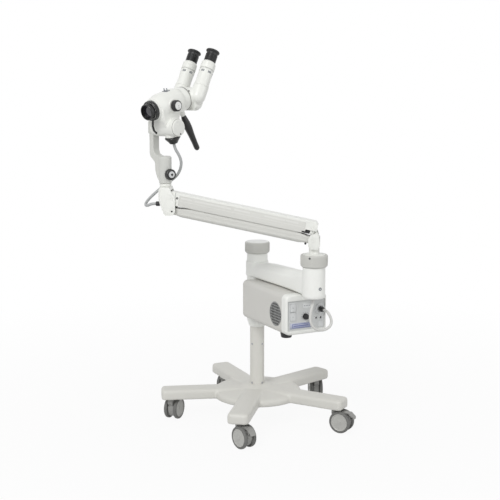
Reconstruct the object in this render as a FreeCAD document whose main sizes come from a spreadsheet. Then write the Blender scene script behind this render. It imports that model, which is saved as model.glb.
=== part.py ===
import FreeCAD, Part
import Sketcher
import math
import os
from FreeCAD import Placement, Rotation, Vector

# Colposcope on a five-leg wheeled stand. Millimetres, +Z up, origin on the floor on the column axis.
# The support arm and its lamp box point along -Y, and the front panel faces -Y.

doc = FreeCAD.newDocument("colposcope")
sheet = doc.addObject("Spreadsheet::Sheet", "Sizes")

driving = {
    # star base and column
    "leg_count": 5,
    "leg_first_angle": 88,
    "leg_reach": 340,
    "leg_width": 72,
    "leg_height": 36,
    "leg_corner": 15,
    "leg_edge_round": 9,
    "base_underside": 81,
    "web_disc_reach": 156,
    "web_disc_thickness": 27,
    "hub_ring_reach": 71,
    "hub_ring_rise": 9,
    "column_diameter": 50,
    "column_wall": 3,
    "column_seat_depth": 30,
    "column_screw_level": 271,
    "column_screw_diameter": 7,
    "column_screw_head": 2,
    "foot_screw_level": 130,
    "running_clearance": 0.06,
    "seat_clearance": 0.1,
    "safe_gap": 0.5,
    # casters
    "caster_inset": 34,
    "caster_trail": 24,
    "wheel_diameter": 75,
    "wheel_tread": 12.3,
    "wheel_dish": 1.8,
    "wheel_spacing": 23.8,
    "axle_diameter": 8,
    "axle_head_diameter": 14,
    "hood_radius": 30,
    "caster_stem_diameter": 11,
    "caster_stem_length": 24,
    "caster_collar_diameter": 24,
    "pedal_length": 26,
    "pedal_width": 24,
    "pedal_thickness": 4,
    "pedal_drop": 7.2,
    "pedal_lift": 1.5,
    "pedal_slope": 45,
    "pedal_reach": 40,
    "pedal_pin_inset": 5,
    "pedal_pin_diameter": 3,
    "tongue_width": 4,
    # rear sleeve and support arm
    "post_spacing": 391,
    "post_diameter": 72,
    "sleeve_foot_level": 334,
    "sleeve_cone_height": 25,
    "sleeve_foot_wall": 3,
    "ring_diameter": 85,
    "ring_height": 40,
    "ring_chamfer": 5,
    "ring_rib_count": 24,
    "ring_rib_depth": 0.8,
    "rear_ring_top": 633,
    "front_ring_top": 644,
    "ring_wall": 6,
    "ring_lip": 3,
    "bridge_underside": 514,
    "bridge_rear_rise": 46,
    "bridge_front_rise": 71,
    "bridge_waist_width": 58,
    "boss_wall": 3.5,
    "post_foot_level": 503,
    "post_bore": 32,
    # lamp box
    "box_rear": 37,
    "box_setback": 8,
    "box_width": 151,
    "box_floor": 378.5,
    "box_top": 510,
    "box_wall": 3,
    "box_edge_round": 17,
    "hanger_diameter": 24,
    "bezel_depth": 29,
    "bezel_frame": 7,
    "bezel_foot": 14,
    "bezel_brow": 20,
    "panel_recess": 4,
    "panel_thickness": 3,
    "vent_setback": 42,
    "vent_level": 438,
    "vent_diameter": 80,
    "grille_bar": 2.2,
    "grille_pitch": 9,
    "grille_thickness": 2.4,
    "grille_rim": 3,
    "fan_diameter": 72,
    "fan_hub_diameter": 28,
    "fan_depth": 14,
    "fan_blade_count": 7,
    "fan_blade_thickness": 2.4,
    "fan_shaft_diameter": 5,
    "fan_back_gap": 9,
    "foot_diameter": 40,
    "foot_height": 15,
    "foot_inset_along": 18,
    "foot_inset_across": 28,
    "port_across": 51,
    "port_level": 456.5,
    "port_diameter": 34,
    "port_height": 5,
    "plug_diameter": 17,
    "plug_length": 22,
    "knob_across": -2.4,
    "knob_level": 436,
    "knob_diameter": 20,
    "knob_height": 13,
    "knob_shaft_diameter": 6,
    "button_across": -48.5,
    "upper_button_level": 467.5,
    "lower_button_level": 438.5,
    "button_width": 19,
    "button_height": 26,
    "button_stand": 3,
    "window_across": 4,
    "window_level": 471,
    "window_width": 30,
    "window_height": 15,
    "jack_level": 427,
    "jack_across": 38,
    "jack_spacing": 17,
    "jack_diameter": 7,
    "plate_across": 55,
    "plate_level": 406.5,
    "plate_width": 17,
    "plate_height": 18,
    "relief": 1,
    "lamp_diameter": 50,
    "lamp_length": 60,
    # spring arm
    "arm_heading": 148.4,
    "arm_tilt": 11.4,
    "neck_diameter": 33,
    "spigot_length": 90,
    "knuckle_reach": 18,
    "knuckle_drop": 28,
    "cheek_inner": 53,
    "yoke_inner": 43,
    "tongue_plate": 24,
    "tongue_radius": 11.4,
    "link_cap_thickness": 4,
    "link_cap_drop": 5,
    "link_notch": 20,
    "link_notch_depth": 8,
    "cheek_thickness": 5,
    "pivot_offset": 6,
    "lower_pivot_level": 690,
    "pivot_rise": 40,
    "link_length": 446.8,
    "pin_diameter": 9,
    "upper_link_height": 41,
    "upper_link_width": 50,
    "upper_link_wall": 4,
    "strip_height": 7,
    "side_panel_thickness": 1.2,
    "side_panel_inset": 22,
    "lower_link_below": 15,
    "lower_link_above": 19.5,
    "lower_link_waist": 11,
    "lower_link_width": 40,
    "lower_link_round": 12,
    "yoke_room": 20,
    "spring_diameter": 22,
    "spring_length": 300,
    # end bracket and swivel
    "swivel_offset": 24,
    "bracket_foot": 765,
    "bracket_top": 853,
    "bracket_front": 19,
    "bracket_back": 34,
    "bracket_corner": 10,
    "end_wall_reach": 22,
    "swivel_diameter": 38,
    "swivel_ring_height": 10,
    "swivel_groove": 1.6,
    "swivel_pin_diameter": 20,
    "swivel_pin_length": 50,
    # swivel bracket
    "head_heading": 202.3,
    "boss_diameter": 40,
    "boss_height": 86,
    "upright_thickness": 22,
    "upright_width": 26,
    "upright_across": 50,
    "bracket_round": 8,
    "tilt_level": 1038,
    "tilt_boss_diameter": 46,
    "tilt_pin_diameter": 16,
    "tension_level": 893,
    "tension_diameter": 34,
    "tension_height": 18,
    "tension_heading": 78,
    # head
    "head_tilt": 15,
    "tilt_housing_diameter": 56,
    "tilt_housing_near": 58,
    "tilt_housing_far": 38,
    "cap_diameter": 52,
    "cap_height": 5,
    "axis_rise": 64.7,
    "changer_radius": 43,
    "changer_front": 12,
    "changer_rear": -66,
    "nose_radius": 36,
    "nose_front": 36,
    "rear_ring_radius": 37,
    "binocular_joint": -99,
    "focus_ring_radius": 31,
    "focus_ring_length": 12,
    "cell_radius": 25,
    "cell_front": 63,
    "cell_bore_radius": 21,
    "cell_recess": 9,
    "lens_thickness": 5,
    "lever_length": 44,
    "lever_thickness": 5,
    "changer_knob_along": -17,
    "knob_boss_rise": 1,
    "changer_knob_diameter": 35,
    "changer_knob_height": 18,
    "neck_width": 52,
    "socket_across": 26,
    "socket_diameter": 46,
    "socket_height": 22,
    "socket_tip_diameter": 24,
    "lug_length": 22,
    "handle_along": -88,
    "handle_length": 128,
    "handle_lean": 15.5,
    "handle_top_diameter": 22,
    "handle_waist_diameter": 18,
    "handle_tip_diameter": 19,
    "slider_width": 22,
    "slider_height": 9,
    # binocular
    "binocular_angle": 48,
    "binocular_bend": -127.5,
    "pupil_distance": 82,
    "prism_radius": 28,
    "prism_width": 92,
    "prism_round": 14,
    "tube_diameter": 45,
    "tube_start": 34,
    "tube_end": 92,
    "diopter_diameter": 47,
    "diopter_length": 26,
    "eyepiece_diameter": 33,
    "eyepiece_top": 150,
    "eyecup_diameter": 36,
    "eyecup_length": 40,
    "eyecup_flange_diameter": 44,
    "eyecup_flange_thickness": 4,
    # light guide
    "guide_diameter": 9,
    "grommet_diameter": 15,
    "grommet_length": 12,
}


class Size:
    # a number together with the spreadsheet expression that gives it
    def __init__(self, value, text):
        self.value = float(value)
        self.text = text

    def __add__(self, other):
        other = sized(other)
        return Size(self.value + other.value, f"({self.text} + {other.text})")

    def __sub__(self, other):
        other = sized(other)
        return Size(self.value - other.value, f"({self.text} - {other.text})")

    def __mul__(self, other):
        other = sized(other)
        return Size(self.value * other.value, f"({self.text} * {other.text})")

    def __truediv__(self, other):
        other = sized(other)
        return Size(self.value / other.value, f"({self.text} / {other.text})")

    def __neg__(self):
        return Size(-self.value, f"(0 - {self.text})")

    __radd__ = __add__
    __rmul__ = __mul__

    def __rsub__(self, other):
        return sized(other) - self

    def __float__(self):
        return self.value


def sized(number):
    return number if isinstance(number, Size) else Size(number, repr(float(number)))


def cosine(angle):
    return Size(math.cos(math.radians(angle.value)), f"cos({angle.text})")


def sine(angle):
    return Size(math.sin(math.radians(angle.value)), f"sin({angle.text})")


class Sheet:
    pass


z = Sheet()
for row, (name, number) in enumerate(driving.items(), 1):
    sheet.set(f"A{row}", name.replace("_", " "))
    sheet.set(f"B{row}", str(number))
    sheet.setAlias(f"B{row}", name)
    setattr(z, name, Size(number, f"Sizes.{name}"))
doc.recompute()

parts = {}


def bind(thing, path, amount):
    thing.setExpression(path, sized(amount).text)


def new_body(label):
    body = doc.addObject("PartDesign::Body", label)
    body.Label = label
    parts[label] = body
    return body


def plane(body, role):
    return next(f for f in body.Origin.OriginFeatures if f.Role == role)


def outline(body, role, loops, height=0, name="outline"):
    # closed loops on an origin plane: a list of corners, or (x, y, radius) for a circle
    sketch = body.newObject("Sketcher::SketchObject", name)
    sketch.AttachmentSupport = (plane(body, role), [""])
    sketch.MapMode = "FlatFace"
    sketch.AttachmentOffset = Placement(Vector(0, 0, float(height)), Rotation())
    bind(sketch, "AttachmentOffset.Base.z", height)
    ties = []

    def tie(kind, *where, amount):
        amount = sized(amount)
        index = sketch.addConstraint(Sketcher.Constraint(kind, *where, amount.value))
        ties.append((index, amount))

    for loop in loops:
        first = sketch.GeometryCount
        if isinstance(loop, tuple):
            x, y, radius = (sized(v) for v in loop)
            sketch.addGeometry(Part.Circle(Vector(x.value, y.value, 0), Vector(0, 0, 1), radius.value))
            tie("Radius", first, amount=radius)
            tie("DistanceX", -1, 1, first, 3, amount=x)
            tie("DistanceY", -1, 1, first, 3, amount=y)
            continue
        corners = [(sized(x), sized(y)) for x, y in loop]
        count = len(corners)
        for i in range(count):
            a, b = corners[i], corners[(i + 1) % count]
            start, end = Vector(a[0].value, a[1].value, 0), Vector(b[0].value, b[1].value, 0)
            sketch.addGeometry(Part.LineSegment(start, end))
        for i in range(count):
            sketch.addConstraint(Sketcher.Constraint("Coincident", first + i, 2, first + (i + 1) % count,
                                                     1))
        for i, (x, y) in enumerate(corners):
            tie("DistanceX", -1, 1, first + i, 1, amount=x)
            tie("DistanceY", -1, 1, first + i, 1, amount=y)
    for index, amount in ties:
        if amount.text.startswith("(") or amount.text.startswith("Sizes"):
            sketch.setExpression(f"Constraints[{index}]", amount.text)
    return sketch


def pad(body, sketch, length, both_ways=False, backwards=False):
    feature = body.newObject("PartDesign::Pad", "pad")
    feature.Profile = sketch
    bind(feature, "Length", length)
    if both_ways:
        feature.SideType = "Symmetric"
    feature.Reversed = backwards
    doc.recompute()
    return feature


def pocket(body, sketch, depth=None, both_ways=False, backwards=False):
    before = body.Shape.Volume
    feature = body.newObject("PartDesign::Pocket", "pocket")
    feature.Profile = sketch
    if depth is None:
        feature.Type = "ThroughAll"
    else:
        bind(feature, "Length", depth)
    if both_ways:
        feature.SideType = "Symmetric"
    feature.Reversed = backwards
    doc.recompute()
    if not body.Shape.Volume < before:
        raise RuntimeError(f"{body.Label}: a pocket cuts nothing")
    return feature


def turned(body, corners, name="turning"):
    # revolves a profile of (radius, height) corners about the body's Z axis
    sketch = outline(body, "XZ_Plane", [corners], name=name)
    feature = body.newObject("PartDesign::Revolution", "revolution")
    feature.Profile = sketch
    feature.ReferenceAxis = (sketch, ["V_Axis"])
    feature.Angle = 360
    doc.recompute()
    return feature


def ringed(body, features, count, role="Z_Axis"):
    pattern = body.newObject("PartDesign::PolarPattern", "around")
    pattern.Originals = features
    pattern.Axis = (plane(body, role), [""])
    pattern.Angle = 360
    bind(pattern, "Occurrences", count)
    body.Tip = pattern
    doc.recompute()
    return pattern


def eased(body, radius, wanted, kind="Fillet"):
    # rounds or chamfers the edges of the tip that the test accepts
    doc.recompute()
    names = [f"Edge{i}" for i, e in enumerate(body.Tip.Shape.Edges, 1) if wanted(e)]
    feature = body.newObject(f"PartDesign::{kind}", kind.lower())
    feature.Base = (body.Tip if body.Tip != feature else feature.BaseFeature, names)
    bind(feature, "Radius" if kind == "Fillet" else "Size", radius)
    doc.recompute()
    if "Invalid" in feature.State or not names:
        raise RuntimeError(f"{body.Label}: {feature.Label} fails on {names}")
    return feature


def middle(edge):
    return edge.valueAt((edge.FirstParameter + edge.LastParameter) / 2)


def near(a, b, slack=0.05):
    return abs(float(a) - float(b)) < slack


def upright(edge):
    box = edge.BoundBox
    return box.ZLength > 1 and box.XLength < 0.01 and box.YLength < 0.01


def level(edge, height):
    return near(edge.BoundBox.ZMin, height) and near(edge.BoundBox.ZMax, height)


def place(thing, frame, x=0, y=0, height=0, rotation=None):
    spot = Vector(float(x), float(y), float(height))
    thing.Placement = frame.multiply(Placement(spot, rotation or Rotation()))
    return thing


def rod(name, radius, length, frame, x=0, y=0, height=0, rotation=None):
    piece = doc.addObject("Part::Cylinder", name)
    bind(piece, "Radius", radius)
    bind(piece, "Height", length)
    return place(piece, frame, x, y, height, rotation)


def block(name, length, width, height, frame, x=0, y=0, base=0, rotation=None):
    # a box centred in x and y on its base point
    piece = doc.addObject("Part::Box", name)
    for side, amount in (("Length", length), ("Width", width), ("Height", height)):
        bind(piece, side, amount)
    spot = Placement(Vector(float(x), float(y), float(base)), rotation or Rotation())
    centred = Placement(Vector(-float(length) / 2, -float(width) / 2, 0), Rotation())
    piece.Placement = frame.multiply(spot).multiply(centred)
    return piece


def joined(label, pieces, kind="Part::MultiFuse"):
    whole = doc.addObject(kind, label)
    whole.Shapes = pieces
    if kind == "Part::MultiFuse":
        whole.Refine = True
    whole.Label = label
    parts[label] = whole
    return whole


def cut(label, base, tool):
    whole = doc.addObject("Part::Cut", label)
    whole.Base = base
    whole.Tool = tool
    whole.Label = label
    parts[label] = whole
    return whole


def compound(label, pieces):
    whole = doc.addObject("Part::Compound", label)
    whole.Links = pieces
    whole.Label = label
    parts[label] = whole
    return whole


up = Vector(0, 0, 1)
along_x = Rotation(Vector(0, 1, 0), 90)
along_y = Rotation(Vector(1, 0, 0), -90)
along_minus_y = Rotation(Vector(1, 0, 0), 90)

# frames that the sub-assemblies are laid out in
arm_frame = Placement(Vector(), Rotation(up, -90))
post_spot = arm_frame.multVec(Vector(z.post_spacing.value, 0, 0))
yoke_frame = Placement(post_spot, Rotation(up, z.arm_heading.value))
lean = Rotation(Vector(0, 1, 0), -z.arm_tilt.value)
upper_pivot_level = z.lower_pivot_level + z.pivot_rise
lower_link_frame = yoke_frame.multiply(
    Placement(Vector(z.pivot_offset.value, 0, z.lower_pivot_level.value), lean))
upper_link_frame = yoke_frame.multiply(
    Placement(Vector(z.pivot_offset.value, 0, upper_pivot_level.value), lean))
far_upper_pivot = upper_link_frame.multVec(Vector(z.link_length.value, 0, 0))
end_frame = Placement(far_upper_pivot, Rotation(up, z.arm_heading.value))
swivel_spot = end_frame.multVec(Vector(z.swivel_offset.value, 0, -far_upper_pivot.z))
swivel_frame = Placement(swivel_spot, Rotation(up, z.head_heading.value))
end_floor_frame = Placement(swivel_spot, Rotation(up, z.arm_heading.value))
head_frame = swivel_frame.multiply(
    Placement(Vector(0, 0, z.tilt_level.value), Rotation(Vector(0, 1, 0), z.head_tilt.value)))
eyepiece_lean = Rotation(Vector(0, 1, 0), z.binocular_angle.value - 90)


def tube_frame(side):
    spot = Vector(z.binocular_bend.value, side * z.pupil_distance.value / 2, z.axis_rise.value)
    return head_frame.multiply(Placement(spot, eyepiece_lean))


# star base: five legs run over a low disc to the hub
leg_top = z.base_underside + z.leg_height
hub_top = leg_top + z.hub_ring_rise
column_radius = z.column_diameter / 2
base = new_body("star_base")
leg_side = z.leg_width / 2
leg_outline = [(0, -leg_side), (z.leg_reach, -leg_side), (z.leg_reach, leg_side), (0, leg_side)]
leg = pad(base, outline(base, "XY_Plane", [leg_outline], z.base_underside), z.leg_height)
eased(base, z.leg_corner, lambda e: upright(e) and near(middle(e).x, z.leg_reach))
eased(base, z.leg_edge_round, lambda e: level(e, leg_top) and middle(e).x > 1)
rounds = [f for f in base.Group if f.isDerivedFrom("PartDesign::Fillet")]
ringed(base, [leg] + rounds, z.leg_count)
disc_top = z.base_underside + z.web_disc_thickness
turned(base, [
    (0, z.base_underside), (z.web_disc_reach, z.base_underside), (z.web_disc_reach, disc_top - 11),
    (z.web_disc_reach - 4, disc_top - 4), (z.web_disc_reach - 12, disc_top - 1),
    (z.hub_ring_reach, leg_top - 3), (z.hub_ring_reach - 16, leg_top + 0.5),
    (z.hub_ring_reach - 32, hub_top - 3), (column_radius + 5, hub_top), (0, hub_top)])
bores = [(0, 0, column_radius + z.seat_clearance)]
pocket(base, outline(base, "XY_Plane", [bores[0]], hub_top), z.column_seat_depth)
caster_reach = z.leg_reach - z.caster_inset
stem_hole = (caster_reach, 0, z.caster_stem_diameter / 2 + z.running_clearance)
stem_bore = pocket(base, outline(base, "XY_Plane", [stem_hole], z.base_underside),
                   z.caster_stem_length + 1, backwards=True)
ringed(base, [stem_bore], z.leg_count)
place(base, Placement(Vector(), Rotation(up, z.leg_first_angle.value)))

# column tube, open below the sleeve and closed by it at the top
column = new_body("column_tube")
column_foot = hub_top - z.column_seat_depth
column_top = z.rear_ring_top - z.ring_lip - 12
turned(column, [
    (column_radius - z.column_wall, column_foot), (column_radius, column_foot),
    (column_radius, column_top), (column_radius - z.column_wall, column_top)])

# four screws that hold the tube and the height stop, heads proud of the tube
screw_headings = (198.5, 288.5)
screws = []
for heading in screw_headings:
    for screw_level in (z.column_screw_level, z.foot_screw_level):
        turn = Placement(Vector(), Rotation(up, heading))
        screws.append(rod("screw", z.column_screw_diameter / 2, z.column_screw_head, turn,
                          column_radius, 0, screw_level, along_x))
compound("column_screws", screws)

# casters: a hood and stem, a pair of wheels on one axle, and a brake pedal on two of them
caster_headings = {"front": 282.3, "right": 303.3, "far_right": 68, "far_left": 30, "left": 41.3}
caster_legs = {"front": 2, "right": 3, "far_right": 4, "far_left": 0, "left": 1}
braked = ("front", "right")
axle_level = z.wheel_diameter / 2
wheel_gap = z.wheel_spacing / 2
track = wheel_gap + z.wheel_tread
caster_frames = {}
for where, number in caster_legs.items():
    bearing = math.radians(z.leg_first_angle.value + 360 / z.leg_count.value * number)
    spot = Vector(math.cos(bearing), math.sin(bearing), 0) * caster_reach.value
    frame = Placement(spot, Rotation(up, caster_headings[where]))
    caster_frames[where] = frame

    stem_top = z.base_underside + z.caster_stem_length
    housing_half = wheel_gap - z.safe_gap
    core = rod("core", z.hood_radius, housing_half * 2, frame, z.caster_trail, -housing_half,
               axle_level, along_y)
    collar_foot = axle_level + 12
    collar_width = housing_half * 2
    web = block("web", z.caster_trail + 10, collar_width, z.base_underside - collar_foot - 9, frame,
                z.caster_trail / 2 - 5, 0, collar_foot)
    collar = rod("collar", z.caster_collar_diameter / 2, 8.5, frame, 0, 0, z.base_underside - 9)
    stem = rod("stem", z.caster_stem_diameter / 2, z.caster_stem_length + 1, frame, 0, 0,
               z.base_underside - 1)
    axle = rod("axle", z.axle_diameter / 2, track * 2, frame, z.caster_trail, -track, axle_level, along_y)
    solids = [core, web, collar, stem, axle]
    for side in (-1, 1):
        head_spot = side * track if side > 0 else -track - 2
        solids.append(rod("axle_head", z.axle_head_diameter / 2, 2, frame, z.caster_trail, head_spot,
                          axle_level, along_y))
    label = f"caster_housing_{where}"
    if where not in braked:
        joined(label, solids)
    else:
        # the pedal's tongue goes into a slot in the web and turns on a pin there
        pedal_level = axle_level + z.hood_radius + z.pedal_lift
        pin_level = pedal_level + z.pedal_thickness / 2
        pin_along = z.caster_trail - z.pedal_pin_inset
        slot_length = z.pedal_pin_inset * 2
        slot = block("slot", slot_length, z.tongue_width + z.safe_gap * 2, z.pedal_thickness + 4, frame,
                     z.caster_trail + 1 - slot_length / 2, 0, pedal_level - 2)
        pin_hole = rod("pin_hole", z.pedal_pin_diameter / 2 + z.running_clearance, track * 2, frame,
                       pin_along, -track, pin_level, along_y)
        whole = doc.addObject("Part::MultiFuse", "unslotted")
        whole.Shapes = solids
        whole.Refine = True
        room = doc.addObject("Part::MultiFuse", "pedal_room")
        room.Shapes = [slot, pin_hole]
        cut(label, whole, room)

    wheels = []
    for side in (-1, 1):
        wheel = doc.addObject("PartDesign::Body", f"wheel_{where}")
        radius, bore = z.wheel_diameter / 2, z.axle_diameter / 2 + z.running_clearance
        tread_round = 3
        face = z.wheel_tread - 0.1
        turned(wheel, [
            (bore, 0.1), (radius - tread_round, 0.1), (radius, tread_round), (radius, face - tread_round),
            (radius - tread_round, face), (radius - 9, face), (radius - 11, face - z.wheel_dish),
            (z.axle_head_diameter, face - z.wheel_dish), (z.axle_head_diameter - 2, face), (bore, face)])
        spin = along_y if side > 0 else along_minus_y
        place(wheel, frame, z.caster_trail, side * wheel_gap, axle_level, spin)
        wheels.append(wheel)
    compound(f"caster_wheels_{where}", wheels)

    if where in braked:
        dip = Rotation(Vector(0, 1, 0), z.pedal_slope.value)
        plate = block("plate", z.pedal_length, z.pedal_width, z.pedal_thickness, frame,
                      z.caster_trail + z.pedal_reach, 0, pedal_level - z.pedal_drop, dip)
        arm_start = z.caster_trail + 1
        arm_length = z.pedal_reach - z.pedal_length / 2 + 5
        arm = block("arm", arm_length, wheel_gap * 2 - z.safe_gap * 2, z.pedal_thickness, frame,
                    arm_start + arm_length / 2, 0, pedal_level)
        tongue_length = z.pedal_pin_inset + z.pedal_pin_diameter + 1
        tongue = block("tongue", tongue_length, z.tongue_width, z.pedal_thickness, frame,
                       arm_start + 1 - tongue_length / 2, 0, pedal_level)
        pin = rod("pin", z.pedal_pin_diameter / 2, housing_half * 2, frame, pin_along, -housing_half,
                  pin_level, along_y)
        joined(f"brake_pedal_{where}", [plate, arm, tongue, pin])

# rear sleeve: a long bush that turns on the column, with a cone at its foot and a closed top
sleeve = new_body("rear_sleeve")
post_radius = z.post_diameter / 2
sleeve_bore = column_radius + z.running_clearance
cone_top = z.sleeve_foot_level + z.sleeve_cone_height
sleeve_top = z.rear_ring_top - z.ring_lip
turned(sleeve, [
    (sleeve_bore, z.sleeve_foot_level), (column_radius + z.sleeve_foot_wall, z.sleeve_foot_level),
    (post_radius, cone_top), (post_radius, sleeve_top), (0, sleeve_top),
    (0, column_top + z.safe_gap), (sleeve_bore, column_top + z.safe_gap)])
place(sleeve, arm_frame)

# grey ribbed clamp rings on both posts
def clamp_ring(label, ring_top, frame):
    ring = new_body(label)
    outer, inner = z.ring_diameter / 2, post_radius + z.running_clearance
    foot = ring_top - z.ring_height
    turned(ring, [
        (inner, foot), (outer - z.ring_chamfer, foot), (outer, foot + z.ring_chamfer),
        (outer, ring_top - 2), (outer - 2, ring_top), (inner, ring_top)])
    rib = (outer + 1, 0, 1 + z.ring_rib_depth)
    groove = pocket(ring, outline(ring, "XY_Plane", [rib], foot + z.ring_chamfer + 3),
                    z.ring_height - z.ring_chamfer - 8, backwards=True)
    ringed(ring, [groove], z.ring_rib_count)
    return place(ring, frame)


post_frame = arm_frame.multiply(Placement(Vector(z.post_spacing.value, 0, 0), Rotation()))
clamp_ring("rear_clamp_ring", z.rear_ring_top, arm_frame)
clamp_ring("front_clamp_ring", z.front_ring_top, post_frame)

# support arm casting: rear eye, waisted bridge and front post in one piece
casting = new_body("support_arm")
eye_radius = post_radius + z.boss_wall
bridge_top = z.bridge_underside + z.bridge_front_rise
rear_top = z.bridge_underside + z.bridge_rear_rise
waist = z.bridge_waist_width / 2
spacing = z.post_spacing
half_widths = [eye_radius - 5, waist + 5, waist, waist, post_radius - 4]
shoulders = [rear_top - 14, rear_top - 6, rear_top - 2, rear_top + 4, bridge_top - 4]
crowns = [rear_top, rear_top + 9, rear_top + 14, rear_top + 17, bridge_top + 3]
sections = []
for share, half, shoulder, crown in zip((0.02, 0.25, 0.5, 0.75, 0.95), half_widths, shoulders, crowns):
    section = [
        (-half + 4, z.bridge_underside), (half - 4, z.bridge_underside), (half, z.bridge_underside + 6),
        (half, shoulder - 8), (half - 4, shoulder), (half * 0.5, crown), (-half * 0.5, crown),
        (4 - half, shoulder), (-half, shoulder - 8), (-half, z.bridge_underside + 6)]
    sections.append(outline(casting, "YZ_Plane", [section], z.post_spacing * share, "bridge_section"))
bridge = casting.newObject("PartDesign::AdditiveLoft", "bridge")
bridge.Profile = sections[0]
bridge.Sections = sections[1:]
doc.recompute()
eye = outline(casting, "XY_Plane", [(0, 0, eye_radius)], z.bridge_underside)
pad(casting, eye, z.bridge_rear_rise + 8)
post_top = z.front_ring_top - z.ring_lip
post = outline(casting, "XY_Plane", [(spacing, 0, post_radius)], z.post_foot_level + 11)
pad(casting, post, post_top - z.post_foot_level - 11)
foot_ring = outline(casting, "XY_Plane", [(spacing, 0, post_radius - 3)], z.post_foot_level)
pad(casting, foot_ring, 12)
pocket(casting, outline(casting, "XY_Plane", [(0, 0, post_radius + z.seat_clearance)], z.bridge_underside),
       z.bridge_rear_rise + 9, backwards=True)
post_bore = (spacing, 0, z.post_bore / 2 + z.running_clearance)
pocket(casting, outline(casting, "XY_Plane", [post_bore], post_top), z.spigot_length + 2)
guide_hole = (spacing, 0, z.guide_diameter / 2 + z.seat_clearance)
pocket(casting, outline(casting, "XY_Plane", [guide_hole], z.post_foot_level), 60, backwards=True)
place(casting, arm_frame)

# lamp box: housing open at the front, closed by the bezel and the panel
housing = new_body("lamp_housing")
half_box = z.box_width / 2


def rectangle(half_width, low, high):
    return [(-half_width, low), (half_width, low), (half_width, high), (-half_width, high)]


box_front = z.post_spacing - z.post_diameter / 2 - z.box_setback - z.bezel_depth
vent_along = box_front - z.vent_setback
shell_length = box_front - z.box_rear
pad(housing, outline(housing, "YZ_Plane", [rectangle(half_box, z.box_floor, z.box_top)], z.box_rear),
    shell_length)
eased(housing, z.box_edge_round, lambda e: not upright(e) and e.BoundBox.XLength > 50)
inner = rectangle(half_box - z.box_wall, z.box_floor + z.box_wall, z.box_top - z.box_wall)
pocket(housing, outline(housing, "YZ_Plane", [inner], z.box_rear + z.box_wall), shell_length,
       backwards=True)
vent = (vent_along, z.vent_level, z.vent_diameter / 2)
pocket(housing, outline(housing, "XZ_Plane", [vent], half_box - z.box_wall - 2), z.box_wall + 4,
       backwards=True)
hangers = [(z.box_rear + 60, 0, z.hanger_diameter / 2), (box_front - 40, 0, z.hanger_diameter / 2)]
pad(housing, outline(housing, "XY_Plane", hangers, z.box_top - z.box_wall / 2),
    z.bridge_underside - z.box_top + z.box_wall / 2)
place(housing, arm_frame)

# white front bezel, a frame with a recessed step for the panel
bezel = new_body("front_bezel")
panel_half = half_box - z.bezel_frame
panel_low = z.box_floor + z.bezel_foot
panel_high = z.box_top - z.bezel_brow
bezel_front = box_front + z.bezel_depth
pad(bezel, outline(bezel, "YZ_Plane", [rectangle(half_box, z.box_floor, z.box_top)], box_front),
    z.bezel_depth)
eased(bezel, z.box_edge_round, lambda e: not upright(e) and e.BoundBox.XLength > 20)
eased(bezel, z.box_edge_round / 2, lambda e: near(e.BoundBox.XMin, bezel_front) and near(e.BoundBox.XMax,
                                                                                         bezel_front))
opening = rectangle(panel_half, panel_low, panel_high)
pocket(bezel, outline(bezel, "YZ_Plane", [opening], box_front - 1), z.bezel_depth + 2, backwards=True)
place(bezel, arm_frame)

# control panel with raised port, window frame and plate, and holes for its knob and buttons
panel = new_body("control_panel")
panel_face = bezel_front - z.panel_recess
fit = z.seat_clearance
pad(panel, outline(panel, "YZ_Plane",
                   [rectangle(panel_half - fit, panel_low + fit, panel_high - fit)],
                   panel_face - z.panel_thickness), z.panel_thickness)
port = (z.port_across, z.port_level, z.port_diameter / 2)
pad(panel, outline(panel, "YZ_Plane", [port], panel_face - 1), z.port_height + 1)


def patch(across, up_level, width, height):
    return [(across - width / 2, up_level - height / 2), (across + width / 2, up_level - height / 2),
            (across + width / 2, up_level + height / 2), (across - width / 2, up_level + height / 2)]


patches = [patch(z.window_across, z.window_level, z.window_width, z.window_height),
           patch(z.plate_across, z.plate_level, z.plate_width, z.plate_height)]
pad(panel, outline(panel, "YZ_Plane", patches, panel_face - 1), z.relief + 1)
jacks = [(z.jack_across, z.jack_level, z.jack_diameter / 2),
         (z.jack_across + z.jack_spacing, z.jack_level, z.jack_diameter / 2)]
pocket(panel, outline(panel, "YZ_Plane", jacks, panel_face - 2), 5, backwards=True)
button_room = z.safe_gap
holes = [(z.knob_across, z.knob_level, z.knob_shaft_diameter / 2 + z.running_clearance)]
for button_level in (z.upper_button_level, z.lower_button_level):
    holes.append(patch(z.button_across, button_level, z.button_width + button_room * 2,
                       z.button_height + button_room * 2))
pocket(panel, outline(panel, "YZ_Plane", holes, panel_face - z.panel_thickness - 1), 8, backwards=True)
plug_bore = (z.port_across, z.port_level, z.plug_diameter / 2 - 2 + z.seat_clearance)
pocket(panel, outline(panel, "YZ_Plane", [plug_bore], panel_face - z.panel_thickness - 1), 20,
       backwards=True)
place(panel, arm_frame)

# light guide plug in the port
plug = new_body("light_guide_plug")
port_face = panel_face + z.port_height
plug_spigot = z.plug_diameter / 2 - 2
guide_radius = z.guide_diameter / 2
turned(plug, [
    (0, -8), (plug_spigot, -8), (plug_spigot, 0), (z.plug_diameter / 2, 0),
    (z.plug_diameter / 2, z.plug_length * 0.55), (guide_radius + 1.5, z.plug_length), (0, z.plug_length)])
place(plug, arm_frame, port_face, z.port_across, z.port_level, along_x)

# brightness knob on its shaft
knob = new_body("brightness_knob")
knob_radius = z.knob_diameter / 2
knob_foot = z.safe_gap
turned(knob, [
    (0, -z.panel_thickness - 4), (z.knob_shaft_diameter / 2, -z.panel_thickness - 4),
    (z.knob_shaft_diameter / 2, knob_foot), (knob_radius, knob_foot), (knob_radius, 3),
    (knob_radius - 2, z.knob_height), (0, z.knob_height)])
place(knob, arm_frame, panel_face, z.knob_across, z.knob_level, along_x)

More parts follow.
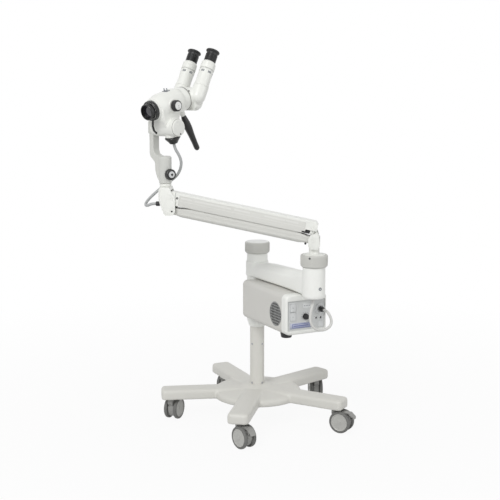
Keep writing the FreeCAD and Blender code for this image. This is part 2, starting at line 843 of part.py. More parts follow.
# two push buttons, one above the other
for label, button_level in (("lamp_button", z.upper_button_level),
                            ("standby_button", z.lower_button_level)):
    button = new_body(label)
    button_depth = z.panel_thickness + z.button_stand + 3
    face = patch(0, 0, z.button_width, z.button_height)
    pad(button, outline(button, "YZ_Plane", [face], -z.panel_thickness - 3), button_depth)
    eased(button, 1.2, lambda e: near(e.BoundBox.XMin, z.button_stand) and near(e.BoundBox.XMax,
                                                                                z.button_stand))
    place(button, arm_frame, panel_face, z.button_across, button_level)

# round vent grille of crossed bars in a rim
grille = new_body("vent_grille")
grille_radius = z.vent_diameter / 2 - z.seat_clearance
turned(grille, [
    (grille_radius - z.grille_rim, 0), (grille_radius, 0), (grille_radius, z.grille_thickness),
    (grille_radius - z.grille_rim, z.grille_thickness)])
reach = z.vent_diameter / 2 - z.grille_rim / 2
bars = int(reach.value // z.grille_pitch.value)
across = []
for i in range(-bars, bars + 1):
    offset = z.grille_pitch * i
    chord = math.sqrt(reach.value ** 2 - offset.value ** 2)
    half_bar = z.grille_bar / 2
    across.append([(-chord, offset - half_bar), (chord, offset - half_bar),
                   (chord, offset + half_bar), (-chord, offset + half_bar)])
pad(grille, outline(grille, "XY_Plane", across), z.grille_thickness * 0.7)
down = [[(y, x) for x, y in reversed(loop)] for loop in across]
pad(grille, outline(grille, "XY_Plane", down), z.grille_thickness * 0.7)
vent_face = half_box - z.grille_thickness
place(grille, arm_frame, vent_along, -vent_face, z.vent_level, along_minus_y)

# cooling fan behind the vent: rotor on a shaft that a cross-bar carries
fan_face = half_box - z.box_wall - z.grille_thickness - 3
fan = new_body("fan_rotor")
hub_radius = z.fan_hub_diameter / 2
turned(fan, [
    (z.fan_shaft_diameter / 2 + z.running_clearance, 0), (hub_radius, 0), (hub_radius, z.fan_depth - 2),
    (hub_radius - 2, z.fan_depth), (z.fan_shaft_diameter / 2 + z.running_clearance, z.fan_depth)])
blade_half = z.fan_blade_thickness / 2
blade = [(hub_radius - 1, -blade_half * 3), (z.fan_diameter / 2, -blade_half * 4),
         (z.fan_diameter / 2, blade_half * 4), (hub_radius - 1, blade_half)]
fan_blade = pad(fan, outline(fan, "XY_Plane", [blade], 2), z.fan_depth - 4)
ringed(fan, [fan_blade], z.fan_blade_count)
place(fan, arm_frame, vent_along, -(fan_face - z.fan_depth), z.vent_level, along_minus_y)

# lamp module: reflector lamp, fan shaft carrier and chassis on the box floor
chassis_length = shell_length - 60
chassis = block("chassis", chassis_length, z.box_width - z.box_wall * 2 - 20, 4, arm_frame,
                z.box_rear + shell_length / 2, 0, z.box_floor + z.box_wall + 0.3)
carrier_across = fan_face - z.fan_depth - z.fan_back_gap
carrier = block("carrier", 14, 6, z.vent_level - z.box_floor - z.box_wall + 8, arm_frame,
                vent_along, -carrier_across, z.box_floor + z.box_wall + 0.3)
shaft = rod("shaft", z.fan_shaft_diameter / 2, z.fan_back_gap + z.fan_depth, arm_frame, vent_along,
            -carrier_across, z.vent_level, along_minus_y)
lamp = rod("lamp", z.lamp_diameter / 2, z.lamp_length, arm_frame, box_front - z.lamp_length - 40,
           z.port_across - 18, z.port_level - 8, along_x)
pillar = block("pillar", 20, 12, z.port_level - z.box_floor - z.box_wall - 20, arm_frame,
               box_front - z.lamp_length - 10, z.port_across - 18, z.box_floor + z.box_wall + 0.3)
joined("lamp_module", [chassis, carrier, shaft, lamp, pillar])

# round rubber foot under the box's front corner
foot = doc.addObject("Part::Cone", "box_foot")
bind(foot, "Radius1", z.foot_diameter / 2 - 3)
bind(foot, "Radius2", z.foot_diameter / 2)
bind(foot, "Height", z.foot_height)
parts["box_foot"] = place(foot, arm_frame, box_front - z.foot_inset_along, z.foot_inset_across - half_box,
                          z.box_floor - z.foot_height)

# yoke that turns in the front post, with two cheeks outside the links
neck_foot = post_top + z.safe_gap
yoke_half = z.yoke_inner / 2 + z.cheek_thickness
yoke = new_body("arm_yoke")
knuckle_foot = z.lower_pivot_level - z.knuckle_drop
neck_radius = z.neck_diameter / 2
turned(yoke, [
    (0, post_top - z.spigot_length), (z.post_bore / 2, post_top - z.spigot_length),
    (z.post_bore / 2, neck_foot),
    (z.ring_diameter / 2 - z.ring_wall - 1, neck_foot), (z.ring_diameter / 2 - z.ring_wall - 1,
                                                         neck_foot + 3),
    (neck_radius, neck_foot + 5), (neck_radius, knuckle_foot + 6), (0, knuckle_foot + 6)])
cheek_top = z.lower_pivot_level + z.pivot_rise - 8
back, front = -z.knuckle_reach, z.knuckle_reach
knuckle = [
    (back, knuckle_foot + 10), (back + 8, knuckle_foot), (front - 8, knuckle_foot),
    (front, knuckle_foot + 10),
    (front + 1, z.lower_pivot_level + 6), (front - 4, z.lower_pivot_level + 12),
    (front - 8, cheek_top - 11.5),
    (back + 20, cheek_top - 11), (back + 13, cheek_top - 8), (back + 8, cheek_top - 3.5),
    (back + 2, z.lower_pivot_level + 8)]
pad(yoke, outline(yoke, "XZ_Plane", [knuckle]), yoke_half * 2, both_ways=True)
room_floor = z.lower_pivot_level - z.yoke_room
room = [(back - 1, room_floor), (front + 3, room_floor), (front + 3, cheek_top + 1),
        (back - 1, cheek_top + 1)]
pocket(yoke, outline(yoke, "XZ_Plane", [room]), z.yoke_inner, both_ways=True)
tongue = [
    (back, room_floor - 1), (back + 9, room_floor - 1), (back + 9, upper_pivot_level - 27),
    (z.pivot_offset - 6, upper_pivot_level - 18), (z.pivot_offset, upper_pivot_level - 12),
    (z.pivot_offset, upper_pivot_level), (z.pivot_offset - 7, upper_pivot_level - 9),
    (z.pivot_offset - 12, upper_pivot_level - 17), (back, upper_pivot_level - 29)]
pad(yoke, outline(yoke, "XZ_Plane", [tongue]), z.tongue_plate, both_ways=True)
tongue_end = (z.pivot_offset, upper_pivot_level, z.tongue_radius)
pad(yoke, outline(yoke, "XZ_Plane", [tongue_end]), z.tongue_plate, both_ways=True)
pin_holes = [(z.pivot_offset, z.lower_pivot_level, z.pin_diameter / 2 + fit / 2),
             (z.pivot_offset, upper_pivot_level, z.pin_diameter / 2 + fit / 2)]
pocket(yoke, outline(yoke, "XZ_Plane", pin_holes), yoke_half * 3, both_ways=True)
place(yoke, yoke_frame)

# pivot pins, ends just below the outer faces
cheek_outer = z.cheek_inner / 2 + z.cheek_thickness


def pin(frame, length):
    return rod("pin", z.pin_diameter / 2, length, frame, 0, -length / 2, 0, along_y)


flat = Rotation(up, z.arm_heading.value)
compound("yoke_pins", [pin(Placement(lower_link_frame.Base, flat), yoke_half * 2 - 1),
                       pin(Placement(upper_link_frame.Base, flat), z.upper_link_width - 1)])
far_lower_pivot = lower_link_frame.multVec(Vector(z.link_length.value, 0, 0))
compound("bracket_pins", [pin(Placement(spot, flat), cheek_outer * 2 - 1) for spot in (far_lower_pivot,
                                                                                       far_upper_pivot)])

# upper link: an inverted channel with rounded ends, which houses the spring
half_link = z.upper_link_height / 2
upper_link = new_body("upper_link")
pivot_bore = z.pin_diameter / 2 + z.running_clearance
side_view = [(-8, -half_link), (z.link_length + 8, -half_link), (z.link_length + 16, -half_link + 8),
             (z.link_length + 16, half_link - 8), (z.link_length + 8, half_link), (-8, half_link),
             (-16, half_link - 8), (-16, -half_link + 8)]
pad(upper_link, outline(upper_link, "XZ_Plane", [side_view]), z.upper_link_width, both_ways=True)
cap_inner = -16 + z.link_cap_thickness
inside = [(-17, -half_link - 1), (z.link_length + 17, -half_link - 1),
          (z.link_length + 17, half_link - z.upper_link_wall), (cap_inner, half_link - z.upper_link_wall),
          (cap_inner, -z.link_cap_drop), (-17, -z.link_cap_drop)]
pocket(upper_link, outline(upper_link, "XZ_Plane", [inside]), z.upper_link_width - z.upper_link_wall * 2,
       both_ways=True)
notch = [(-17, -half_link - 1), (z.link_notch, -half_link - 1), (z.link_notch, -z.link_notch_depth),
         (-17, -z.link_notch_depth)]
pocket(upper_link, outline(upper_link, "XZ_Plane", [notch]), z.upper_link_width + 2, both_ways=True)
panel_bed = [(z.side_panel_inset, -half_link - 1), (z.link_length - z.side_panel_inset, -half_link - 1),
             (z.link_length - z.side_panel_inset, half_link - z.strip_height),
             (z.side_panel_inset, half_link - z.strip_height)]
for backwards in (False, True):
    bed = outline(upper_link, "XZ_Plane", [panel_bed],
                  (z.upper_link_width / 2 - z.side_panel_thickness) * (-1 if backwards else 1))
    pocket(upper_link, bed, z.side_panel_thickness * 2, backwards=not backwards)
pocket(upper_link, outline(upper_link, "XZ_Plane", [(0, 0, pivot_bore), (z.link_length, 0, pivot_bore)]),
       z.upper_link_width * 2, both_ways=True)
place(upper_link, upper_link_frame)

# grey side panels let into the channel's flanks
panels = []
panel_long = z.link_length - z.side_panel_inset * 2 - fit * 2
panel_tall = z.upper_link_height - z.strip_height - fit
for side in (-1, 1):
    spot = side * (z.upper_link_width / 2 - z.side_panel_thickness / 2).value
    panels.append(block("side_panel", panel_long, z.side_panel_thickness, panel_tall, upper_link_frame,
                        z.link_length / 2, spot, -half_link))
compound("arm_side_panels", panels)

# spring cartridge inside the channel: spring between two anchor blocks
anchor = z.upper_link_width - z.upper_link_wall * 2 - fit * 2
spring = rod("spring", z.spring_diameter / 2, z.spring_length, upper_link_frame, z.side_panel_inset + 20, 0,
             half_link - z.upper_link_wall - z.spring_diameter / 2 - 1, along_x)
near_block = block("near_block", 16, anchor, z.spring_diameter, upper_link_frame,
                   z.side_panel_inset + 20, 0, half_link - z.upper_link_wall - z.spring_diameter - 0.3)
far_block = block("far_block", 16, anchor, z.spring_diameter, upper_link_frame,
                  z.side_panel_inset + 20 + z.spring_length, 0,
                  half_link - z.upper_link_wall - z.spring_diameter - 0.3)
joined("spring_cartridge", [spring, near_block, far_block])

# lower link: a rounded bar that rises into the channel when the arm is steep
lower_link = new_body("lower_link")
below, above, thin = z.lower_link_below, z.lower_link_above, z.lower_link_waist
low_view = [
    (-9, -thin), (26, -thin), (44, -below), (z.link_length - 30, -below), (z.link_length - 14, -thin),
    (z.link_length + 9, -thin), (z.link_length + 13, 0), (z.link_length + 9, thin),
    (z.link_length - 16, thin),
    (z.link_length - 78, above), (62, above), (16, thin), (-9, thin), (-13, 0)]
pad(lower_link, outline(lower_link, "XZ_Plane", [low_view]), z.lower_link_width, both_ways=True)
eased(lower_link, z.lower_link_round, lambda e: near(e.BoundBox.ZMax, -below) and e.BoundBox.XLength > 100)
pocket(lower_link, outline(lower_link, "XZ_Plane", [(0, 0, pivot_bore),
                                                    (z.link_length, 0, pivot_bore + 0.4)]),
       z.lower_link_width * 2, both_ways=True)
place(lower_link, lower_link_frame)

# end bracket: cheeks outside the links, a head block and the pin that the head swivels on
bracket = new_body("end_bracket")
rise = far_upper_pivot.z
foot, crest, face = z.bracket_foot, z.bracket_top, z.bracket_front
rear_face = -z.bracket_back
bracket_view = [
    (rear_face, foot + 12), (rear_face, crest - 27), (rear_face + 10, crest - 19), (rear_face + 17, crest),
    (face - 6, crest), (face, crest - 10), (face, foot + 50), (face - 16, foot + 8), (face - 21, foot),
    (rear_face + 8, foot)]
pad(bracket, outline(bracket, "XZ_Plane", [bracket_view]), cheek_outer * 2, both_ways=True)
end_wall = z.end_wall_reach - z.swivel_offset
end_room = [(-60, z.bracket_foot - 5), (end_wall, z.bracket_foot - 5), (end_wall, rise + 24),
            (-20, rise + 26), (-60, rise + 31)]
pocket(bracket, outline(bracket, "XZ_Plane", [end_room]), z.cheek_inner, both_ways=True)
eased(bracket, z.bracket_corner, lambda e: upright(e) and near(middle(e).x, z.bracket_front))
far_holes = [(-z.swivel_offset, rise, z.pin_diameter / 2 + fit / 2),
             (-z.swivel_offset, far_lower_pivot.z, z.pin_diameter / 2 + fit / 2)]
pocket(bracket, outline(bracket, "XZ_Plane", far_holes), cheek_outer * 3, both_ways=True)
swivel_radius = z.swivel_diameter / 2
ring_top = z.bracket_top + z.swivel_ring_height
pad(bracket, outline(bracket, "XY_Plane", [(0, 0, swivel_radius - z.swivel_groove)], z.bracket_top - 1),
    z.swivel_ring_height + 1)
pad(bracket, outline(bracket, "XY_Plane", [(0, 0, swivel_radius)], z.bracket_top + 2),
    z.swivel_ring_height - 4)
pad(bracket, outline(bracket, "XY_Plane", [(0, 0, z.swivel_pin_diameter / 2)], ring_top - 1),
    z.swivel_pin_length + 1)
place(bracket, end_floor_frame)

# grommet where the light guide leaves the bracket
grommet_level = z.bracket_foot + 34
grommet = rod("grommet", z.grommet_diameter / 2, z.grommet_length, end_floor_frame, z.bracket_front, 0,
              grommet_level, along_x)
grommet.Label = "cable_grommet"
parts["cable_grommet"] = grommet

# swivel bracket: boss on the pin, a lower limb, an upright and the tilt bearing
swivel = new_body("swivel_bracket")
boss_foot = ring_top + z.safe_gap
boss_top = boss_foot + z.boss_height
boss_radius = z.boss_diameter / 2
turned(swivel, [
    (0, boss_foot), (boss_radius, boss_foot),
    (boss_radius, boss_top - 4), (boss_radius - 4, boss_top), (0, boss_top)])
thick = z.upright_thickness / 2
upright_mid = -z.upright_across
inner_face, outer_face = upright_mid + thick, upright_mid - thick
limb = [
    (-12, boss_foot + 4), (8, boss_top), (-20, boss_top), (inner_face + 5, boss_top + 6),
    (inner_face, boss_top + 18),
    (inner_face, z.tilt_level), (outer_face, z.tilt_level), (outer_face, boss_top + 12),
    (outer_face + 8, boss_top - 4),
    (-34, boss_top - 21), (-33, boss_foot + 40), (-24, boss_foot + 16)]
pad(swivel, outline(swivel, "YZ_Plane", [limb]), z.upright_width, both_ways=True)
eased(swivel, z.bracket_round, lambda e: abs(middle(e).x) > 12.9 and middle(e).y < upright_mid.value + 2
      and middle(e).z > boss_top.value + 10)
swivel_bore = (0, 0, z.swivel_pin_diameter / 2 + z.running_clearance)
pocket(swivel, outline(swivel, "XY_Plane", [swivel_bore], boss_foot), z.swivel_pin_length, backwards=True)
tilt_eye = outline(swivel, "XZ_Plane", [(0, z.tilt_level, z.tilt_boss_diameter / 2)],
                   z.upright_across - thick)
pad(swivel, tilt_eye, z.upright_thickness)
pin_depth = 22
tilt_pin = outline(swivel, "XZ_Plane", [(0, z.tilt_level, z.tilt_pin_diameter / 2)],
                   z.upright_across - thick)
pad(swivel, tilt_pin, pin_depth, backwards=True)
place(swivel, swivel_frame)

# tension knob on the boss of the swivel bracket
tension = new_body("tension_knob")
tension_radius = z.tension_diameter / 2
turned(tension, [
    (0, 0), (tension_radius - 6, 0), (tension_radius, 3), (tension_radius, z.tension_height - 3),
    (tension_radius - 2, z.tension_height - 1), (tension_radius - 6, z.tension_height - 1),
    (tension_radius - 7, z.tension_height), (0, z.tension_height)])
flute = pocket(tension, outline(tension, "XY_Plane", [(tension_radius + 1.4, 0, 2.4)], 3),
               z.tension_height - 7, backwards=True)
ringed(tension, [flute], 16)
turn = Rotation(up, z.tension_heading.value).multiply(along_x)
reach = boss_radius + z.safe_gap
bearing = math.radians(z.tension_heading.value)
place(tension, swivel_frame, reach.value * math.cos(bearing), reach.value * math.sin(bearing),
      z.tension_level, turn)

# microscope body: a turned barrel on the optical axis over the tilt housing
body = doc.addObject("PartDesign::Body", "barrel")
spigot_radius = z.cell_radius + 2
nose_face = z.nose_front
barrel = [
    (z.cell_radius + z.running_clearance, nose_face - 22), (z.cell_radius + z.running_clearance,
                                                            nose_face + 12),
    (spigot_radius, nose_face + 12), (spigot_radius, nose_face), (z.nose_radius - 2, nose_face),
    (z.nose_radius - 2, nose_face - 7), (z.nose_radius, nose_face - 9),
    (z.changer_radius - 1, z.changer_front - 4),
    (z.changer_radius, z.changer_front - 12), (z.changer_radius, z.changer_rear + 8),
    (z.changer_radius - 1, z.changer_rear),
    (z.rear_ring_radius, z.changer_rear - 12), (z.rear_ring_radius, z.binocular_joint),
    (0, z.binocular_joint),
    (0, nose_face - 22)]
turned(body, barrel)


# the barrel is turned about Z and lies along the optical axis, so side features use the turned frame:
# its X is the head's down direction, its Y the near side
def on_side(x, height):
    return (-(height - z.axis_rise), x)


web_half = z.neck_width / 2
web = [on_side(web_half, 0), on_side(web_half + 6, 32), on_side(web_half + 2, z.axis_rise),
       on_side(-web_half - 22, z.axis_rise), on_side(-web_half - 14, 32), on_side(-web_half, 0)]
pad(body, outline(body, "XZ_Plane", [web], 30), 68, backwards=True)
pocket(body, outline(body, "XY_Plane", [(0, 0, z.cell_radius + z.running_clearance)], nose_face + 12), 34)
tilt_axis = on_side(0, 0)
far_face, near_face = z.tilt_housing_far, z.tilt_housing_near
housing_round = outline(body, "XZ_Plane", [(tilt_axis[0], tilt_axis[1], z.tilt_housing_diameter / 2)],
                        far_face)
pad(body, housing_round, far_face + near_face, backwards=True)
knob_axis = on_side(z.changer_knob_along, z.axis_rise)
knob_boss = outline(body, "XZ_Plane", [(knob_axis[0], knob_axis[1], z.changer_knob_diameter / 2 + 3)], 0)
pad(body, knob_boss, z.changer_radius + z.knob_boss_rise, backwards=True)
seat = outline(body, "YZ_Plane", [(z.socket_across, 0, z.socket_diameter / 2 - 1)], z.axis_rise)
pad(body, seat, z.tilt_housing_diameter / 2 + 1)
bearing_hole = outline(body, "XZ_Plane", [(tilt_axis[0], tilt_axis[1],
                                           z.tilt_pin_diameter / 2 + z.running_clearance)],
                       far_face)
pocket(body, bearing_hole, pin_depth + 2)
changer_shaft_hole = outline(body, "XZ_Plane", [(knob_axis[0], knob_axis[1], 4 + z.running_clearance)],
                             -z.changer_radius - 2)
pocket(body, changer_shaft_hole, 18, backwards=True)
slot_floor = -(z.changer_radius - 4)
slider_slot = [(slot_floor - 20, -46), (slot_floor, -46), (slot_floor, -24), (slot_floor - 20, -24)]
pocket(body, outline(body, "XZ_Plane", [slider_slot]), z.slider_width + z.safe_gap * 2, both_ways=True)
lying = Rotation(Vector(0, 1, 0), 90)
place(body, head_frame, 0, 0, z.axis_rise, lying)

# lug that carries the handle, and the handle itself
handle_turn = Rotation(Vector(0, 1, 0), 180 + z.handle_lean.value)
handle_root = Vector(z.handle_along.value, 0, 12)
lug = doc.addObject("PartDesign::Body", "handle_lug")
lug_radius = z.handle_top_diameter / 2 - 3
turned(lug, [(0, -z.lug_length), (lug_radius + 2, -z.lug_length), (lug_radius, 0), (5, 0), (5, 14),
             (0, 14)])
place(lug, head_frame, handle_root.x, 0, handle_root.z, handle_turn)
joined("microscope_body", [body, lug])
handle = new_body("handle")
top_radius, waist_radius, tip_radius = (z.handle_top_diameter / 2, z.handle_waist_diameter / 2,
                                        z.handle_tip_diameter / 2)
turned(handle, [
    (0, 14 + z.safe_gap), (5 + fit, 14 + z.safe_gap), (5 + fit, z.safe_gap), (top_radius - 4, z.safe_gap),
    (top_radius - 2, 6), (top_radius + 1, 28), (top_radius + 1.5, 46), (top_radius - 0.5, 68),
    (waist_radius, 98),
    (tip_radius - 0.5, z.handle_length - 12), (tip_radius - 1, z.handle_length - 6),
    (tip_radius - 4, z.handle_length - 1), (0, z.handle_length)])
place(handle, head_frame, handle_root.x, 0, handle_root.z, handle_turn)

# bare cover disc on the near end of the tilt housing
cover = new_body("housing_cap")
cover_radius = z.cap_diameter / 2
turned(cover, [(0, 0), (cover_radius, 0), (cover_radius, z.cap_height - 1.5),
               (cover_radius - 2, z.cap_height), (0, z.cap_height)])
pocket(cover, outline(cover, "XY_Plane", [(3, -cover_radius * 0.55, 2)], z.cap_height), 1)
place(cover, head_frame, 0, z.tilt_housing_near, 0, along_y)

# black socket under the tilt housing where the light guide comes in
socket = new_body("light_guide_socket")
socket_top = z.tilt_housing_diameter / 2 + 1
turned(socket, [
    (0, -socket_top), (z.socket_diameter / 2, -socket_top), (z.socket_diameter / 2 + 2, -socket_top - 4),
    (z.socket_tip_diameter / 2 + 4, -socket_top - z.socket_height * 0.7),
    (z.socket_tip_diameter / 2, -socket_top - z.socket_height), (0, -socket_top - z.socket_height)])
place(socket, head_frame, 0, z.socket_across, 0)

# magnification knob on the near side of the barrel
changer_knob = new_body("magnification_knob")
changer_knob_radius = z.changer_knob_diameter / 2
turned(changer_knob, [
    (0, -14), (4, -14), (4, 0), (changer_knob_radius - 2, 0), (changer_knob_radius, 2),
    (changer_knob_radius, z.changer_knob_height - 5), (changer_knob_radius - 5, z.changer_knob_height - 4),
    (changer_knob_radius - 6, z.changer_knob_height), (0, z.changer_knob_height)])
rib_cut = pocket(changer_knob, outline(changer_knob, "XY_Plane", [(changer_knob_radius + 1, 0, 1.8)], 2),
                 z.changer_knob_height - 8, backwards=True)
ringed(changer_knob, [rib_cut], 24)
place(changer_knob, head_frame, z.changer_knob_along, z.changer_radius + z.knob_boss_rise + z.safe_gap,
      z.axis_rise, along_y)

# focusing ring with its finger lever, and the objective cell and lens that slide inside it
ring = new_body("focus_ring")
ring_foot = nose_face + z.safe_gap
turned(ring, [
    (spigot_radius + z.running_clearance, ring_foot), (z.focus_ring_radius, ring_foot),
    (z.focus_ring_radius, ring_foot + z.focus_ring_length - 2),
    (z.focus_ring_radius - 2, ring_foot + z.focus_ring_length),
    (spigot_radius + z.running_clearance, ring_foot + z.focus_ring_length)])
lever_mid = ring_foot + z.focus_ring_length / 2
lever = [
    (z.focus_ring_radius - 2, lever_mid - 2.5), (z.focus_ring_radius + 16, lever_mid + 3),
    (z.focus_ring_radius + 30, lever_mid + 2), (z.focus_ring_radius + z.lever_length - 4, lever_mid - 6),
    (z.focus_ring_radius + z.lever_length, lever_mid - 3), (z.focus_ring_radius + 31, lever_mid + 7),
    (z.focus_ring_radius + 16, lever_mid + 8), (z.focus_ring_radius - 2, lever_mid + 2.5)]
pad(ring, outline(ring, "XZ_Plane", [lever]), z.lever_thickness, both_ways=True)
place(ring, head_frame, 0, 0, z.axis_rise, lying)

cell = new_body("objective_cell")
cell_back = z.cell_front - 30
lens_top = z.cell_front - z.cell_recess
lens_seat = lens_top - z.lens_thickness
lens_pocket = z.cell_bore_radius - 0.5
turned(cell, [
    (z.cell_bore_radius - 4, cell_back), (z.cell_radius, cell_back), (z.cell_radius, z.cell_front - 1.5),
    (z.cell_radius - 1.5, z.cell_front), (z.cell_bore_radius, z.cell_front), (z.cell_bore_radius, lens_top),
    (lens_pocket, lens_top), (lens_pocket, lens_seat), (z.cell_bore_radius - 4, lens_seat)])
place(cell, head_frame, 0, 0, z.axis_rise, lying)
lens = new_body("objective_lens")
lens_radius = lens_pocket - z.seat_clearance
turned(lens, [(0, lens_seat), (lens_radius, lens_seat), (lens_radius, lens_seat + z.lens_thickness - 2),
              (lens_radius * 0.5, lens_seat + z.lens_thickness - 0.4), (0, lens_seat + z.lens_thickness)])
place(lens, head_frame, 0, 0, z.axis_rise, lying)

# filter slider with its two finger pins on top of the barrel
slider_base = z.axis_rise - slot_floor + 0.3
slider_mid = -35
slide_plate = block("slide_plate", 14, z.slider_width, 3, head_frame, slider_mid, 0, slider_base)
finger_pins = [rod("finger_pin", 1.6, z.slider_height, head_frame, slider_mid, side * 6, slider_base + 2)
               for side in (-1, 1)]
joined("filter_slider", [slide_plate] + finger_pins)

# binocular housing: a flange on the barrel, a prism drum and a platform for the two tubes
binocular = new_body("binocular_housing")
flange_back = z.binocular_joint - 8
drum = outline(binocular, "XZ_Plane", [(0, z.binocular_bend, z.prism_radius)])
pad(binocular, drum, z.prism_width, both_ways=True)
eased(binocular, z.prism_round, lambda e: near(abs(middle(e).y), z.prism_width / 2) and e.Length > 20)
rear = z.rear_ring_radius
turned(binocular, [
    (0, z.binocular_joint - 0.3), (rear - 2, z.binocular_joint - 0.3), (rear - 2, z.binocular_joint - 2),
    (rear, z.binocular_joint - 2), (rear, flange_back), (z.prism_radius - 3, z.binocular_bend),
    (0, z.binocular_bend)])
place(binocular, head_frame, 0, 0, z.axis_rise, lying)
binocular.Label = "prism_drum"
del parts["binocular_housing"]
elbow_radius = z.tube_diameter / 2 + 2
elbows = [binocular]
for side in (-1, 1):
    elbows.append(rod("elbow", elbow_radius, z.tube_start - 0.3, tube_frame(side)))
    knuckle_ball = doc.addObject("Part::Sphere", "knuckle_ball")
    bind(knuckle_ball, "Radius", elbow_radius)
    elbows.append(place(knuckle_ball, tube_frame(side)))
joined("binocular_housing", elbows)

# the two eyepiece tubes: each slides across the platform to set the pupil distance
for side, label in ((1, "near"), (-1, "far")):
    frame = tube_frame(side)
    tube = new_body(f"eyepiece_tube_{label}")
    tube_radius = z.tube_diameter / 2
    eyepiece_radius = z.eyepiece_diameter / 2
    barrel_top = z.eyepiece_top - 12
    turned(tube, [
        (0, z.tube_start), (tube_radius + 2, z.tube_start), (tube_radius, z.tube_start + 10),
        (tube_radius, z.tube_end), (eyepiece_radius, z.tube_end), (eyepiece_radius, barrel_top),
        (eyepiece_radius - 4, barrel_top), (eyepiece_radius - 5, barrel_top - 3), (0, barrel_top - 2)])
    place(tube, frame)

    diopter = new_body(f"diopter_ring_{label}")
    diopter_radius = z.diopter_diameter / 2
    diopter_foot = z.tube_end + z.safe_gap
    diopter_top = diopter_foot + z.diopter_length
    turned(diopter, [
        (eyepiece_radius + z.running_clearance, diopter_foot), (diopter_radius, diopter_foot),
        (diopter_radius, diopter_foot + 14), (diopter_radius - 1, diopter_foot + 15),
        (diopter_radius - 1, diopter_top - 5),
        (diopter_radius - 4, diopter_top), (eyepiece_radius + z.running_clearance, diopter_top)])
    place(diopter, frame)

    cup = new_body(f"eyecup_{label}")
    cup_foot = diopter_top + z.safe_gap
    cup_radius, flange_radius = z.eyecup_diameter / 2, z.eyecup_flange_diameter / 2
    flange_foot = cup_foot + z.eyecup_length - z.eyecup_flange_thickness
    turned(cup, [
        (eyepiece_radius + z.running_clearance, cup_foot), (cup_radius + 1, cup_foot),
        (cup_radius + 1, cup_foot + 12),
        (cup_radius - 0.2, cup_foot + 14), (cup_radius, flange_foot - 3), (flange_radius, flange_foot),
        (flange_radius, flange_foot + z.eyecup_flange_thickness - 1),
        (flange_radius - 1.5, flange_foot + z.eyecup_flange_thickness),
        (eyepiece_radius + z.running_clearance, flange_foot + z.eyecup_flange_thickness)])
    place(cup, frame)


# light guides: straight runs joined by arcs as large as the runs allow
def cable(label, route, radius):
    points = [Vector(*p) for p in route]
    edges, radii = [], []
    start = points[0]
    for before, corner, after in zip(points, points[1:], points[2:]):
        into, out = corner - before, after - corner
        turn = into.getAngle(out)
        room = 0.45 * min(into.Length, out.Length)
        arc_radius = room / math.tan(turn / 2)
        radii.append(round(arc_radius, 1))
        a = corner - into.normalize() * room
        b = corner + out.normalize() * room
        bisector = ((a + b) * 0.5 - corner).normalize()
        centre = corner + bisector * (arc_radius / math.cos(turn / 2))
        midpoint = centre - bisector * arc_radius
        edges.append(Part.LineSegment(start, a).toShape())
        edges.append(Part.Arc(a, midpoint, b).toShape())
        start = b
    edges.append(Part.LineSegment(start, points[-1]).toShape())
    path = Part.Wire(edges)
    first = points[1] - points[0]
    ring_edge = Part.makeCircle(radius, points[0], first)
    solid = path.makePipeShell([Part.Wire([ring_edge])], True, True, 2)
    print(label, "radii", radii, "length", round(path.Length, 1),
          "volume share", round(solid.Volume / (math.pi * radius ** 2 * path.Length), 4))
    thing = doc.addObject("Part::Feature", label)
    thing.Shape = solid
    thing.Label = label
    parts[label] = thing
    return thing


def arm_point(along, left, height):
    spot = arm_frame.multVec(Vector(along, left, height))
    return (spot.x, spot.y, spot.z)


lamp_route = [
    (370, 51, 456.5), (385, 51, 456.5), (395, 56, 446), (400, 61, 430), (402, 59, 414), (402, 47, 404),
    (402, 30, 399),
    (402, 5, 403), (401, -12, 418), (399, -17, 438), (396, -14, 460), (392, -4, 482), (391, 0, 503)]
cable("light_guide_loop", [arm_point(*p) for p in lamp_route], z.guide_diameter.value / 2)
head_route = [
    (-425.5, -129.15, 799), (-436.8, -122.1, 799), (-447.2, -113.4, 792), (-451.2, -103.5, 793),
    (-444, -96, 803),
    (-427, -95, 819), (-402.5, -99.5, 840), (-377, -111.2, 862), (-362, -129, 877),
    (-354.7, -147.6, 893), (-353.4, -155, 904)]
cable("light_guide_lower", head_route, z.guide_diameter.value / 2)
socket_mouth = head_frame.multVec(Vector(0, z.socket_across.value, -(socket_top + z.socket_height).value))
below_mouth = head_frame.multVec(Vector(0, z.socket_across.value,
                                        -(socket_top + z.socket_height).value - 18))
upper_route = [(-353.33, -155.35, 904.6), (-352, -162.4, 915), (-353.5, -168, 934), (-361.5, -167.5, 954),
               tuple(below_mouth), tuple(socket_mouth)]
cable("light_guide_upper", upper_route, z.guide_diameter.value / 2)

# every object is checked before anything is written
doc.recompute()
faults = [f"{thing.Label}: {thing.State}" for thing in doc.Objects
          if any(word in thing.State for word in ("Invalid", "Error"))]
for label, thing in parts.items():
    if thing.Shape.isNull() or not thing.Shape.isValid() or thing.Shape.Volume <= 0:
        faults.append(f"{label}: bad shape")
if faults:
    raise RuntimeError("; ".join(faults))
os.makedirs("parts", exist_ok=True)
for label, thing in parts.items():
    thing.Shape.exportStep(f"parts/{label}.step")
print(len(parts), "sub-parts written")
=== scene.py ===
import math
import bmesh
import bpy
from mathutils import Matrix, Vector


